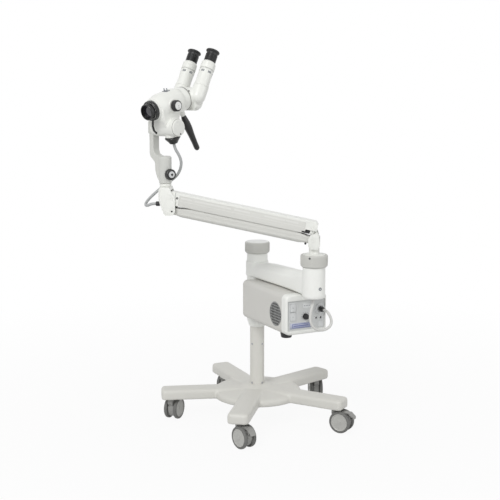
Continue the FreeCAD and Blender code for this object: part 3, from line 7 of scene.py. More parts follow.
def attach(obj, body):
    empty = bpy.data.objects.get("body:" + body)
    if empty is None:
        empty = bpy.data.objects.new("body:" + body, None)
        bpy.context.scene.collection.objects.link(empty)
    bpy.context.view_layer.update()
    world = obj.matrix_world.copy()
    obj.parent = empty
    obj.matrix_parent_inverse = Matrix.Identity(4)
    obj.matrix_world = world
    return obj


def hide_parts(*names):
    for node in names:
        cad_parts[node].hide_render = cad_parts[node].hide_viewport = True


# a colposcope on a wheeled stand; sizes here are in millimetres and become metres when a piece is finished
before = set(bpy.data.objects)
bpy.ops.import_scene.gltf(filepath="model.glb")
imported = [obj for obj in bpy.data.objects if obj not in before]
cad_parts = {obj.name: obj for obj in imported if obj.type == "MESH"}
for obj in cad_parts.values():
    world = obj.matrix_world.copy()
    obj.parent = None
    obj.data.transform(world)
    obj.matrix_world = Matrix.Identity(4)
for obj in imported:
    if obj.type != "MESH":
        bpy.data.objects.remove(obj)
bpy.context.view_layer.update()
print("frame loaded:", len(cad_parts), "nodes")


def spot(x, y, z, heading=0, lean=0):
    # a place, turned about the vertical and then leant about its own y
    return (Matrix.Translation((x, y, z)) @ Matrix.Rotation(math.radians(heading), 4, "Z")
            @ Matrix.Rotation(math.radians(lean), 4, "Y"))


toX = Matrix.Rotation(math.radians(90), 4, "Y")
toY = Matrix.Rotation(math.radians(-90), 4, "X")
toMinusY = Matrix.Rotation(math.radians(90), 4, "X")

stand = {"post": 391, "swingHeading": 148.4, "lift": 11.4, "pivotOut": 6, "lowerPivot": 690, "pivotRise": 40,
         "linkLength": 446.8, "swivelOut": 24, "headHeading": 202.3, "tiltLevel": 1038, "noseDown": 15,
         "axisRise": 64.7}
armAt = spot(0, 0, 0, -90)
postAt = armAt @ spot(stand["post"], 0, 0)
yokeAt = spot(0, -stand["post"], 0, stand["swingHeading"])
lowerAt = yokeAt @ spot(stand["pivotOut"], 0, stand["lowerPivot"], 0, -stand["lift"])
upperAt = yokeAt @ spot(stand["pivotOut"], 0, stand["lowerPivot"] + stand["pivotRise"], 0, -stand["lift"])
farUpper = upperAt @ Vector((stand["linkLength"], 0, 0))
farLower = lowerAt @ Vector((stand["linkLength"], 0, 0))
reach = Matrix.Rotation(math.radians(stand["swingHeading"]), 4, "Z") @ Vector((stand["swivelOut"], 0, 0))
swivelPoint = Vector((farUpper.x, farUpper.y, 0)) + reach
swivelAt = spot(swivelPoint.x, swivelPoint.y, 0, stand["headHeading"])
headAt = swivelAt @ spot(0, 0, stand["tiltLevel"], 0, stand["noseDown"])
barrelAt = headAt @ spot(0, 0, stand["axisRise"], 0, 90)


# finishes
class Value:
    # an output socket; sums, differences and products of them add Math nodes
    def __init__(self, finish, socket):
        self.finish, self.socket = finish, socket

    def maths(self, operation, first, second):
        return self.finish.node("ShaderNodeMath", {"operation": operation}, {0: first, 1: second})

    def __add__(self, other):
        return self.maths("ADD", self, other)

    def __sub__(self, other):
        return self.maths("SUBTRACT", self, other)

    def __rsub__(self, other):
        return self.maths("SUBTRACT", other, self)

    def __mul__(self, other):
        return self.maths("MULTIPLY", self, other)

    __radd__ = __add__
    __rmul__ = __mul__


def linear(r, g, b):
    # a screen colour, 0 to 255, as the shader wants it
    parts = [c / 255 / 12.92 if c <= 10 else ((c / 255 + 0.055) / 1.055) ** 2.4 for c in (r, g, b)]
    return (*parts, 1.0)


class Finish:
    # a material with one Principled shader
    def __init__(self, name, roughness, metallic=0.0, coat=0.0):
        self.material = bpy.data.materials.new(name)
        self.material.use_nodes = True
        self.tree = self.material.node_tree
        self.shader = self.tree.nodes["Principled BSDF"]
        self.output = self.tree.nodes["Material Output"]
        self.set("Roughness", roughness)
        self.set("Metallic", metallic)
        self.set("Coat Weight", coat)

    def node(self, kind, settings, inputs, out=0):
        made = self.tree.nodes.new(kind)
        for name, value in settings.items():
            setattr(made, name, value)
        for name, value in inputs.items():
            if isinstance(value, Value):
                self.tree.links.new(value.socket, made.inputs[name])
            else:
                made.inputs[name].default_value = value
        return Value(self, made.outputs[out])

    def set(self, name, value):
        if isinstance(value, Value):
            self.tree.links.new(value.socket, self.shader.inputs[name])
        else:
            self.shader.inputs[name].default_value = value

    def noise(self, size, detail):
        # soft noise whose blotches are about size millimetres across
        where = self.node("ShaderNodeTexCoord", {}, {}, "Object")
        return self.node("ShaderNodeTexNoise", {}, {"Vector": where, "Scale": 1000 / size, "Detail": detail})

    def mixed(self, amount, dark, light):
        return self.node("ShaderNodeMix", {"data_type": "RGBA"}, {"Factor": amount, 6: dark, 7: light}, 2)

    def bump(self, height, depth):
        # relief depth millimetres high
        inputs = {"Height": height, "Distance": depth / 1000, "Strength": 1.0}
        self.set("Normal", self.node("ShaderNodeBump", {}, inputs))


def coated(name, colour, roughness, grain, depth, drift, mottling, coat=0.0):
    # painted or moulded surface: fine grain, slight drift of colour and of gloss over mottling millimetres
    finish = Finish(name, roughness, coat=coat)
    cloud = finish.noise(mottling, 3.0)
    speck = finish.noise(grain, 2.0)
    dark = linear(*(max(0, c - drift) for c in colour))
    light = linear(*(min(255, c + drift) for c in colour))
    finish.set("Base Color", finish.mixed(cloud * 0.75 + speck * 0.25, dark, light))
    finish.set("Roughness", roughness - 0.06 + 0.12 * cloud)
    finish.bump(speck, depth)
    return finish


headPaint = coated("headPaint", (236, 237, 232), 0.36, 1.2, 0.02, 3, 60, 0.15)
swivelPaint = coated("swivelPaint", (208, 209, 204), 0.4, 1.2, 0.03, 3, 60, 0.1)
linkPaint = coated("linkPaint", (212, 212, 207), 0.46, 1.4, 0.04, 4, 90)
stripPaint = coated("stripPaint", (225, 225, 221), 0.46, 1.0, 0.03, 4, 80)
# painted light: the bridge and rear sleeve take the cast paint made lighter, so that the bridge's side, which
# the key leaves in shade, still looks lit
litBridgePaint = coated("litBridgePaint", (243, 244, 240), 0.42, 1.4, 0.04, 3, 90)
castPaint = coated("castPaint", (234, 235, 230), 0.42, 1.4, 0.04, 3, 90)
standPaint = coated("standPaint", (216, 215, 209), 0.46, 1.2, 0.05, 4, 120)
boxPaint = coated("boxPaint", (212, 211, 206), 0.5, 1.0, 0.06, 4, 80)
bezelPaint = coated("bezelPaint", (239, 240, 236), 0.42, 1.0, 0.03, 3, 80)
ringGrey = coated("ringGrey", (202, 202, 197), 0.5, 0.8, 0.04, 5, 40)
panelSide = coated("panelSide", (216, 216, 211), 0.48, 0.8, 0.03, 4, 90)
panelFoil = coated("panelFoil", (203, 205, 204), 0.55, 0.6, 0.02, 4, 50)
buttonGrey = coated("buttonGrey", (214, 216, 216), 0.4, 0.6, 0.02, 3, 20)
black = coated("blackPlastic", (20, 20, 21), 0.34, 0.9, 0.05, 5, 20)
blackRubber = coated("blackRubber", (14, 14, 15), 0.42, 0.8, 0.06, 4, 20)
darkInside = coated("darkInside", (60, 60, 62), 0.7, 1.0, 0.03, 5, 30)
casterGrey = coated("casterGrey", (152, 152, 149), 0.45, 0.9, 0.04, 6, 25)
hubGrey = coated("hubGrey", (184, 184, 180), 0.42, 0.9, 0.03, 5, 25)
tyreGrey = coated("tyreGrey", (112, 112, 110), 0.66, 0.9, 0.06, 7, 20)
sheathGrey = coated("sheathGrey", (176, 178, 178), 0.5, 0.9, 0.05, 6, 30)
sheathPale = coated("sheathPale", (210, 210, 207), 0.5, 0.9, 0.05, 6, 30)
white = coated("whiteCap", (242, 243, 241), 0.4, 0.8, 0.02, 2, 20)
markGrey = coated("markGrey", (120, 124, 130), 0.5, 0.6, 0.01, 4, 20)
seamGrey = coated("seamGrey", (158, 158, 154), 0.5, 0.6, 0.01, 4, 20)
ventGrey = coated("ventGrey", (150, 151, 150), 0.5, 0.8, 0.03, 4, 20)
paleBlue = coated("paleBlue", (184, 188, 204), 0.5, 0.6, 0.01, 3, 30)
blue = coated("blue", (112, 122, 172), 0.45, 0.6, 0.01, 4, 20)


def turnedMetal(name, colour, roughness):
    finish = Finish(name, roughness, 1.0)
    fine = finish.noise(0.35, 1.0)
    cloud = finish.noise(15, 2.0)
    finish.set("Base Color", finish.mixed(cloud, linear(*(c - 14 for c in colour)), linear(*colour)))
    finish.set("Roughness", roughness - 0.07 + 0.14 * fine)
    finish.bump(fine, 0.01)
    return finish


steel = turnedMetal("steel", (186, 187, 190), 0.3)


def lensGlass():
    finish = Finish("lensGlass", 0.04, coat=1.0)
    bloom = finish.noise(18, 1.0)
    finish.set("Base Color", finish.mixed(bloom, linear(20, 22, 30), linear(38, 34, 44)))
    finish.set("Roughness", 0.03 + 0.03 * bloom)
    return finish


lens = lensGlass()
print("finishes made")


# making pieces
def lathe(profile, steps=64):
    # (radius, height) corners turned about z; a profile that starts off the axis is a closed ring
    bm = bmesh.new()
    verts = [bm.verts.new((r, 0, h)) for r, h in profile]
    pairs = list(zip(verts, verts[1:]))
    if profile[0][0] > 0.001:
        pairs.append((verts[-1], verts[0]))
    edges = [bm.edges.new(pair) for pair in pairs]
    bmesh.ops.spin(bm, geom=verts + edges, cent=(0, 0, 0), axis=(0, 0, 1), angle=math.tau, steps=steps,
                   use_merge=True)
    bmesh.ops.remove_doubles(bm, verts=bm.verts, dist=0.0005)
    bmesh.ops.recalc_face_normals(bm, faces=bm.faces)
    return bm


def prism(outline, width, middle=0.0):
    # an (x, z) outline drawn out along y
    bm = bmesh.new()
    face = bm.faces.new([bm.verts.new((x, middle - width / 2, h)) for x, h in outline])
    grown = bmesh.ops.extrude_face_region(bm, geom=[face])["geom"]
    bmesh.ops.translate(bm, verts=[v for v in grown if isinstance(v, bmesh.types.BMVert)], vec=(0, width, 0))
    bmesh.ops.recalc_face_normals(bm, faces=bm.faces)
    return bm


def slab(sizeX, sizeY, sizeZ, at=(0, 0, 0)):
    bm = bmesh.new()
    bmesh.ops.create_cube(bm, size=1.0)
    bmesh.ops.scale(bm, vec=(sizeX, sizeY, sizeZ), verts=bm.verts)
    bmesh.ops.translate(bm, vec=at, verts=bm.verts)
    return bm


def rounded(bm, radius, wanted, segments=6):
    # rounds the edges whose two ends pass the test
    edges = [e for e in bm.edges if wanted(*(v.co for v in e.verts))]
    bmesh.ops.bevel(bm, geom=edges, offset=radius, segments=segments, profile=0.5, affect="EDGES",
                    material=-1)
    bmesh.ops.recalc_face_normals(bm, faces=bm.faces)
    return bm


def moved(bm, where):
    bmesh.ops.transform(bm, matrix=where, verts=bm.verts)
    return bm


def together(*shapes):
    # puts several shapes into one, without joining their surfaces
    whole = bmesh.new()
    for bm in shapes:
        mesh = bpy.data.meshes.new("part")
        bm.to_mesh(mesh)
        bm.free()
        whole.from_mesh(mesh)
        bpy.data.meshes.remove(mesh)
    return whole


def evaluated(bm, kind, settings):
    # runs a modifier on a shape and hands the result back as a shape
    mesh = bpy.data.meshes.new("work")
    bm.to_mesh(mesh)
    bm.free()
    work = bpy.data.objects.new("work", mesh)
    bpy.context.scene.collection.objects.link(work)
    modifier = work.modifiers.new(kind, kind)
    for name, value in settings.items():
        setattr(modifier, name, value)
    graph = bpy.context.evaluated_depsgraph_get()
    result = bmesh.new()
    result.from_mesh(work.evaluated_get(graph).to_mesh())
    bpy.data.objects.remove(work)
    bpy.data.meshes.remove(mesh)
    return result


def casting(voxel, smoothing, *shapes):
    # melts overlapping shapes into one body with soft inner corners, as a painted casting has
    bm = evaluated(together(*shapes), "REMESH", {"mode": "VOXEL", "voxel_size": voxel})
    for _ in range(smoothing):
        bmesh.ops.smooth_vert(bm, verts=bm.verts, factor=0.5, use_axis_x=True, use_axis_y=True,
                              use_axis_z=True)
    return bm


def cutBy(bm, *tools):
    # takes closed tool shapes out of a shape
    for tool in tools:
        mesh = bpy.data.meshes.new("tool")
        tool.to_mesh(mesh)
        tool.free()
        cutter = bpy.data.objects.new("cutter", mesh)
        bpy.context.scene.collection.objects.link(cutter)
        bm = evaluated(bm, "BOOLEAN", {"operation": "DIFFERENCE", "solver": "EXACT", "object": cutter})
        bpy.data.objects.remove(cutter)
        bpy.data.meshes.remove(mesh)
    return bm


def finished(name, bm, where, body, finish, instead="", edge=0.6):
    # places a shape in metres, with its finish and its edges rounded, and lets it ride on its body
    moved(bm, Matrix.Scale(0.001, 4) @ where)
    mesh = bpy.data.meshes.new(name)
    bm.to_mesh(mesh)
    bm.free()
    mesh.polygons.foreach_set("use_smooth", [True] * len(mesh.polygons))
    piece = bpy.data.objects.new(name, mesh)
    bpy.context.scene.collection.objects.link(piece)
    mesh.materials.append(finish.material)
    if edge:
        bevel = piece.modifiers.new("edges", "BEVEL")
        bevel.width = edge / 1000
        bevel.segments = 3
        bevel.limit_method = "ANGLE"
        bevel.angle_limit = math.radians(32)
        bevel.harden_normals = True
    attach(piece, body)
    if instead:
        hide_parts(instead)
    return piece


def cable(name, points, thickness, body, node, finish):
    # a round cord through points, which leaves what it is plugged into at the first of them
    curve = bpy.data.curves.new(name, "CURVE")
    curve.dimensions = "3D"
    curve.bevel_depth = thickness / 2000
    curve.bevel_resolution = 6
    curve.resolution_u = 16
    curve.use_fill_caps = True
    spline = curve.splines.new("NURBS")
    spline.points.add(len(points) - 1)
    for point, (x, y, z) in zip(spline.points, points):
        point.co = (x / 1000, y / 1000, z / 1000, 1)
    spline.order_u = 3
    spline.use_endpoint_u = True
    curve.materials.append(finish.material)
    piece = bpy.data.objects.new(name, curve)
    bpy.context.scene.collection.objects.link(piece)
    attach(piece, body)
    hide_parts(node)
    [c / 1000 for c in points[0]]


# camera and light guide
view = {"at": (-1569.5, -3064.2, 1146.7), "heading": 26.7, "down": 8.98, "lens": 72,
        "sensor": 36, "sight": 50}
camera = bpy.data.cameras.new("view")
camera.lens = view["lens"]
camera.sensor_width = view["sensor"]
camera.clip_end = view["sight"]
viewer = bpy.data.objects.new("view", camera)
bpy.context.scene.collection.objects.link(viewer)
viewer.matrix_world = (Matrix.Translation(Vector(view["at"]) / 1000)
                       @ Matrix.Rotation(math.radians(-view["heading"]), 4, "Z")
                       @ Matrix.Rotation(math.radians(90 - view["down"]), 4, "X"))
bpy.context.scene.camera = viewer

guide = {"thickness": 9, "mouth": (0, 26, -51), "belowMouth": (0, 26, -69)}
loopPoints = [tuple(armAt @ Vector(p)) for p in (
    (370, 51, 456.5), (385, 51, 456.5), (395, 56, 446), (400, 61, 430), (402, 59, 414), (402, 47, 404),
    (402, 30, 399), (402, 5, 403), (401, -12, 418), (399, -17, 438), (396, -14, 460), (392, -4, 482),
    (391, 0, 503))]
lowerPoints = [(-425.5, -129.15, 799), (-436.8, -122.1, 799), (-447.2, -113.4, 792), (-451.2, -103.5, 793),
               (-444, -96, 803), (-427, -95, 819), (-402.5, -99.5, 840), (-377, -111.2, 862),
               (-362, -129, 877), (-354.7, -147.6, 893), (-353.4, -155, 904)]
upperPoints = [(-353.33, -155.35, 904.6), (-352, -162.4, 915), (-353.5, -168, 934), (-361.5, -167.5, 954),
               tuple(headAt @ Vector(guide["belowMouth"])), tuple(headAt @ Vector(guide["mouth"]))]
cable("guideLoop", loopPoints, guide["thickness"], "support", "light_guide_loop", sheathPale)
cable("guideLower", lowerPoints, guide["thickness"], "arm_end", "light_guide_lower", sheathGrey)
cable("guideUpper", upperPoints, guide["thickness"], "swivel", "light_guide_upper", sheathGrey)
print("camera and light guide placed")

# star base
base = {"reach": 340, "width": 72, "under": 81, "height": 36, "tipRound": 15, "topRound": 11, "disc": 156,
        "hub": 71, "column": 25, "firstLeg": 88, "legs": 5}


def legHeading(number):
    return base["firstLeg"] + 360 / base["legs"] * number


def baseLeg(number):
    tip, top = base["reach"] - 1, base["under"] + base["height"] - 1
    leg = slab(base["reach"], base["width"], base["height"],
               (base["reach"] / 2, 0, base["under"] + base["height"] / 2))
    rounded(leg, base["tipRound"], lambda a, b: a.x > tip and b.x > tip and abs(a.z - b.z) > 1)
    rounded(leg, base["topRound"], lambda a, b: a.z > top and b.z > top and a.x + b.x > 1)
    return moved(leg, spot(0, 0, 0, legHeading(number)))


baseProfile = [(0, base["under"]), (base["disc"] - 3, base["under"]), (base["disc"], base["under"] + 4),
               (base["disc"], 97), (base["disc"] - 4, 104), (base["disc"] - 12, 107), (116, 110), (90, 112),
               (base["hub"], 114), (base["hub"] - 16, 117.5), (base["hub"] - 32, 123),
               (base["column"] + 6, 125.5), (0, 126)]
starBase = casting(3.0, 5, lathe(baseProfile, 96), *(baseLeg(n) for n in range(base["legs"])))
finished("starBase", starBase, Matrix(), "base", standPaint, "star_base", edge=0)
print("star base done")

# column with its screws, and the sleeve that turns on it
column = {"radius": 25, "inner": 22, "foot": 96, "top": 590, "screwHeadings": (198.5, 288.5),
          "screwLevels": (271, 130)}
sleeve = {"radius": 36, "inner": 25.1, "foot": 334, "lip": 28, "cone": 25, "top": 630, "innerTop": 600}
columnProfile = [(column["inner"], column["foot"]), (column["radius"], column["foot"]),
                 (column["radius"], column["top"]), (column["inner"], column["top"])]
finished("column", lathe(columnProfile), Matrix(), "base", standPaint, "column_tube")
screwHead = {"radius": 4, "rise": 1.6, "socket": 2.0}


def socketScrew(size):
    # a small cap screw with a hexagon socket
    radius, socket, rise = screwHead["radius"] * size, screwHead["socket"] * size, screwHead["rise"]
    head = lathe([(0, 0), (radius, 0), (radius, rise - 0.3), (radius - 0.4, rise), (0, rise)], 24)
    hexagon = lathe([(0, 0.4), (socket, 0.4), (socket, 4), (0, 4)], 6)
    return cutBy(head, hexagon)


columnScrews = [moved(socketScrew(0.9), spot(0, 0, 0, heading) @ spot(column["radius"] - 0.2, 0, level) @ toX)
                for heading in column["screwHeadings"] for level in column["screwLevels"]]
finished("columnScrews", together(*columnScrews), Matrix(), "base", steel, "column_screws", edge=0)
sleeveProfile = [(sleeve["inner"], sleeve["foot"]), (sleeve["lip"], sleeve["foot"]),
                 (sleeve["radius"], sleeve["foot"] + sleeve["cone"]), (sleeve["radius"], sleeve["top"]),
                 (0, sleeve["top"]), (0, sleeve["innerTop"]), (sleeve["inner"], sleeve["innerTop"])]
finished("rearSleeve", lathe(sleeveProfile), armAt, "support", litBridgePaint, "rear_sleeve", edge=1.2)
print("column and sleeve done")

# casters
caster = {"reach": 306, "trail": 24, "axle": 37.5, "gap": 5.5, "hood": 30, "hoodWidth": 21, "webWidth": 19,
          "pedalOut": 40, "pedalLevel": 61.8, "pedalLean": 45, "armOut": 17, "armLevel": 71}
# the leg each one stands under, and its heading
casterPlaces = {"front": (2, 282.3), "right": (3, 303.3), "far_right": (4, 68), "far_left": (0, 30),
                "left": (1, 41.3)}
braked = ("front", "right")


def casterTyre():
    return lathe([(30.2, 6.4), (35, 6.4), (36.9, 7.6), (37.5, 9.4), (37.5, 14.4), (36.9, 16.4), (35.2, 18),
                  (32, 18.7), (30.9, 18.2), (30.2, 16)], 72)


def casterHub():
    return lathe([(4.1, 7), (30.2, 7), (30.2, 16.2), (29.6, 17.8), (28.4, 18.2), (26.8, 17.6), (25.2, 16.4),
                  (12, 16), (8, 16.6), (4.1, 16.6)], 72)


def axleEnd():
    return lathe([(0, 14), (5.5, 16), (5.5, 17.4), (4.8, 18), (0, 18)], 32)


def casterHood():
    # a fender that fills the space between the wheels, open below, with the round collar on top
    fender = prism([(caster["hood"] * math.cos(math.radians(a)), caster["hood"] * math.sin(math.radians(a)))
                    for a in range(0, 360, 8)], caster["hoodWidth"])
    fender = cutBy(fender, prism([(-14, -40), (-2, -8), (6, -8), (18, -40)], 30))
    moved(fender, spot(caster["trail"], 0, caster["axle"]))
    web = prism([(-11, 73), (-11, 60), (0, 46), (26, 46), (26, 62), (14, 73)], caster["webWidth"])
    collar = lathe([(0, 70), (11, 70), (12, 71.5), (12, 79.5), (11, 81.5), (0, 81.5)], 48)
    return casting(1.1, 4, fender, web, collar)


def brakePedal():
    # a leaning plate with round outer corners, on an arm that reaches into the hood
    plate = prism([(-13, 0), (11, 0), (13, 1), (13, 3), (11, 4), (-13, 4)], 24)
    rounded(plate, 6, lambda a, b: a.x > 9 and b.x > 9 and abs(a.y - b.y) < 0.1 and abs(a.x - b.x) < 4, 4)
    moved(plate, spot(caster["trail"] + caster["pedalOut"], 0, caster["pedalLevel"], 0, caster["pedalLean"])
          @ spot(0, 0, -2))
    return together(plate, slab(32, 21, 3.6, (caster["trail"] + caster["armOut"], 0, caster["armLevel"])))


for where, (leg, heading) in casterPlaces.items():
    stem = spot(0, 0, 0, legHeading(leg)) @ Vector((caster["reach"], 0, 0))
    place = spot(*stem, heading)
    sides = [spot(caster["trail"], caster["gap"], caster["axle"]) @ toY,
             spot(caster["trail"], -caster["gap"], caster["axle"]) @ toMinusY]
    tyres = together(*(moved(casterTyre(), out) for out in sides))
    hubs = together(*(moved(casterHub(), out) for out in sides))
    axleEnds = together(*(moved(axleEnd(), out) for out in sides))
    turning, rolling = f"caster_{where}", f"wheels_{where}"
    finished(f"casterHood_{where}", casterHood(), place, turning, casterGrey, f"caster_housing_{where}",
             edge=0)
    finished(f"tyres_{where}", tyres, place, rolling, tyreGrey, f"caster_wheels_{where}", edge=0.5)
    finished(f"hubs_{where}", hubs, place, rolling, hubGrey, edge=0.4)
    finished(f"axleEnds_{where}", axleEnds, place, turning, hubGrey, edge=0.5)
    if where in braked:
        finished(f"pedal_{where}", brakePedal(), place, f"pedal_{where}", casterGrey, f"brake_pedal_{where}",
                 edge=0.8)
print("casters done")

# clamp rings: a grey ribbed ring round each post
clamp = {"radius": 42.5, "inner": 36.06, "height": 40, "chamfer": 5, "ribs": 60, "rearTop": 633,
         "frontTop": 644, "cap": 39.5, "capFoot": 630, "capTop": 634}
ringScrewPlace = {"heading": 311, "out": clamp["radius"] - 0.2, "level": 637}
postScrewPlace = {"heading": 3, "out": 35.4, "level": 539}


def clampRing(topLevel):
    foot, r = topLevel - clamp["height"], clamp["radius"]
    ring = lathe([(clamp["inner"], foot), (r - clamp["chamfer"], foot), (r, foot + clamp["chamfer"]),
                  (r, topLevel - 2), (r - 2, topLevel), (clamp["inner"], topLevel)], 96)
    ribs = []
    for n in range(clamp["ribs"]):
        rib = slab(1.2, 1.5, clamp["height"] - clamp["chamfer"] - 8,
                   (r, 0, (topLevel + foot + clamp["chamfer"]) / 2 - 0.5))
        ribs.append(moved(rib, spot(0, 0, 0, 360 / clamp["ribs"] * n)))
    return together(ring, *ribs)


def sideScrew(size, place):
    # a cap screw in the side of a post or a ring
    where = spot(0, 0, 0, place["heading"]) @ spot(place["out"], 0, place["level"]) @ toX
    return moved(socketScrew(size), where)


finished("rearRing", clampRing(clamp["rearTop"]), armAt, "rear_ring", ringGrey, "rear_clamp_ring", edge=0.5)
finished("frontRing", clampRing(clamp["frontTop"]), postAt, "front_ring", ringGrey, "front_clamp_ring",
         edge=0.5)

# pale cap inside the rear ring, and the screws of the front ring and its post
rearCap = lathe([(0, clamp["capFoot"]), (clamp["cap"], clamp["capFoot"]),
                 (clamp["cap"], clamp["capTop"] - 0.6), (clamp["cap"] - 1, clamp["capTop"]),
                 (0, clamp["capTop"])], 96)
finished("rearCap", rearCap, armAt, "support", white, edge=0.3)
finished("ringScrew", sideScrew(0.8, ringScrewPlace), postAt, "front_ring", darkInside, edge=0.1)
finished("postScrew", sideScrew(1.3, postScrewPlace), postAt, "support", markGrey, edge=0.2)
print("clamp rings done")

# bridge and front post; the stations are (distance, half width, shoulder level, crown level)
bridge = {"under": 514, "waist": 29, "eye": 39.5, "eyeTop": 568, "post": 36, "postFoot": 505, "postTop": 641,
          "bore": 16.06, "boreFoot": 550, "far": 700}


def bridgeBeam():
    stations = [(8, bridge["eye"] - 5, 546, 560), (98, bridge["waist"] + 5, 554, 569),
                (195, bridge["waist"], 558, 574), (293, bridge["waist"], 564, 577),
                (372, bridge["post"] - 4, 581, 588)]
    bm = bmesh.new()
    rings = []
    for along, half, shoulder, crown in stations:
        low = bridge["under"]
        section = [(4 - half, low), (half - 4, low), (half, low + 6), (half, shoulder - 8),
                   (half - 4, shoulder), (half * 0.5, crown), (-half * 0.5, crown), (4 - half, shoulder),
                   (-half, shoulder - 8), (-half, low + 6)]
        verts = [bm.verts.new((along, y, h)) for y, h in section]
        rings.append([bm.edges.new(pair) for pair in zip(verts, verts[1:] + verts[:1])])
    for one, two in zip(rings, rings[1:]):
        bmesh.ops.bridge_loops(bm, edges=one + two)
    bmesh.ops.holes_fill(bm, edges=rings[0] + rings[-1])
    bmesh.ops.recalc_face_normals(bm, faces=bm.faces)
    return bm


bearing = bridge["post"] + 0.1
eye = lathe([(bearing, bridge["under"]), (bridge["eye"], bridge["under"]),
             (bridge["eye"], bridge["eyeTop"] - 4), (bridge["eye"] - 3, bridge["eyeTop"]),
             (bearing, bridge["eyeTop"])], 96)
post = lathe([(0, bridge["postFoot"]), (bridge["post"] - 3, bridge["postFoot"]),
              (bridge["post"], bridge["postFoot"] + 7), (bridge["post"], bridge["postTop"]),
              (0, bridge["postTop"])], 96)
atPost = spot(stand["post"], 0, 0)
sleeveHole = lathe([(0, 400), (bearing, 400), (bearing, bridge["far"]), (0, bridge["far"])], 96)
pinHole = lathe([(0, bridge["boreFoot"]), (bridge["bore"], bridge["boreFoot"]),
                 (bridge["bore"], bridge["far"]), (0, bridge["far"])], 64)
armCast = cutBy(casting(2.2, 5, bridgeBeam(), eye, moved(post, atPost)), sleeveHole, moved(pinHole, atPost))
finished("bridge", armCast, armAt, "support", litBridgePaint, "support_arm", edge=0)
print("bridge done")


# pieces whose outline the frame already has
def shapeOf(node):
    # the frame's shape in millimetres, with its triangles joined up
    bm = bmesh.new()
    bm.from_mesh(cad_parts[node].data)
    bmesh.ops.scale(bm, vec=(1000, 1000, 1000), verts=bm.verts)
    bmesh.ops.remove_doubles(bm, verts=bm.verts, dist=0.002)
    return bm


def softened(node, body, finish, edge):
    # the frame's shape with rounded edges
    bm = shapeOf(node)
    bmesh.ops.dissolve_limit(bm, angle_limit=math.radians(1.0), verts=bm.verts, edges=bm.edges)
    finished(node + "Piece", bm, Matrix(), body, finish, node, edge)


def melted(node, body, finish, voxel, smoothing, *extra, cut=()):
    # the frame's shape, less what is cut, melted with extra shapes into a casting
    bm = casting(voxel, smoothing, cutBy(shapeOf(node), *cut), *extra)
    finished(node + "Piece", bm, Matrix(), body, finish, node, edge=0)


# lamp box: rounded shell, bezel and panel
box = {"half": 75.5, "floor": 378.5, "top": 510, "rear": 37, "joint": 318, "front": 347, "corner": 17,
       "innerCorner": 14, "wall": 3, "panelHalf": 68.3, "panelLow": 392.7, "panelHigh": 489.8,
       "panelFace": 343, "panelCorner": 3, "ventAlong": 276, "ventLevel": 438, "ventRadius": 40,
       "hangers": (97, 278)}


def boxSection(half, low, high, corner):
    # a (y, z) rectangle with round corners
    turns = [math.radians(90 * n / 8) for n in range(9)]
    centres = [(half - corner, high - corner, 0), (corner - half, high - corner, 1),
               (corner - half, low + corner, 2), (half - corner, low + corner, 3)]
    turned = [(y, z, t + quarter * math.pi / 2) for y, z, quarter in centres for t in turns]
    return [(y + corner * math.cos(t), z + corner * math.sin(t)) for y, z, t in turned]


def boxRun(section, start, end):
    # a (y, z) outline drawn out along x from start to end
    return moved(prism(section, end - start, -(start + end) / 2), spot(0, 0, 0, 90))


shell = boxSection(box["half"], box["floor"], box["top"], box["corner"])
housing = boxRun(shell, box["rear"], box["joint"])
rounded(housing, 4, lambda a, b: a.x < box["rear"] + 0.1 and b.x < box["rear"] + 0.1, 4)
room = boxRun(boxSection(box["half"] - box["wall"], box["floor"] + box["wall"], box["top"] - box["wall"],
                         box["innerCorner"]), box["rear"] + box["wall"], box["joint"] + 1)
ventHole = moved(lathe([(0, -6), (box["ventRadius"], -6), (box["ventRadius"], 6), (0, 6)], 96),
                 spot(box["ventAlong"], -box["half"], box["ventLevel"]) @ toMinusY)
housing = cutBy(housing, room, ventHole)
hangers = [moved(lathe([(0, 508), (12, 508), (12, 514), (0, 514)], 48), spot(along, 0, 0))
           for along in box["hangers"]]
finished("housing", together(housing, *hangers), armAt, "support", boxPaint, "lamp_housing", edge=0.8)

bezel = boxRun(shell, box["joint"], box["front"])
rounded(bezel, 8.5, lambda a, b: a.x > box["front"] - 0.1 and b.x > box["front"] - 0.1)
opening = boxRun(boxSection(box["panelHalf"] + 0.1, box["panelLow"] - 0.1, box["panelHigh"] + 0.1,
                            box["panelCorner"]), box["joint"] - 1, box["front"] + 1)
finished("bezel", cutBy(bezel, opening), armAt, "support", bezelPaint, "front_bezel", edge=0.8)

# places on the panel's face: across and level, and on a plate its width, height and depth too
panelMap = {"buttons": -48.5, "buttonLevels": (467.5, 438.5), "knob": (-2.4, 436), "tickRadius": 13.6,
            "sockets": ((38, 427), (55, 427)), "port": (51, 456.5), "surround": (-48.5, 453, 26, 64, 0.5),
            "sideStrip": (-32, 453, 1.8, 66, 0.5), "lowPlate": (55, 406.5, 17, 18, 1),
            "highPlate": (4, 471, 30, 15, 0.8), "band": (-18, 407.5, 82, 19, 0.25),
            "frame": (-18, 407.5, 64, 13, 0.5), "frameOpening": (-18, 407.5, 60, 9, 1),
            "frameBar": (-18, 407.5, 54, 3.5, 0.45)}


def onPanel(across, level):
    return spot(box["panelFace"], across, level)


def patch(across, level, width, height, depth, sunk=1.0):
    # a flat plate on the panel's face
    return slab(depth + sunk, width, height, (box["panelFace"] + (depth - sunk) / 2, across, level))


def roundHole(radius):
    return lathe([(0, -6), (radius, -6), (radius, 6), (0, 6)], 40)


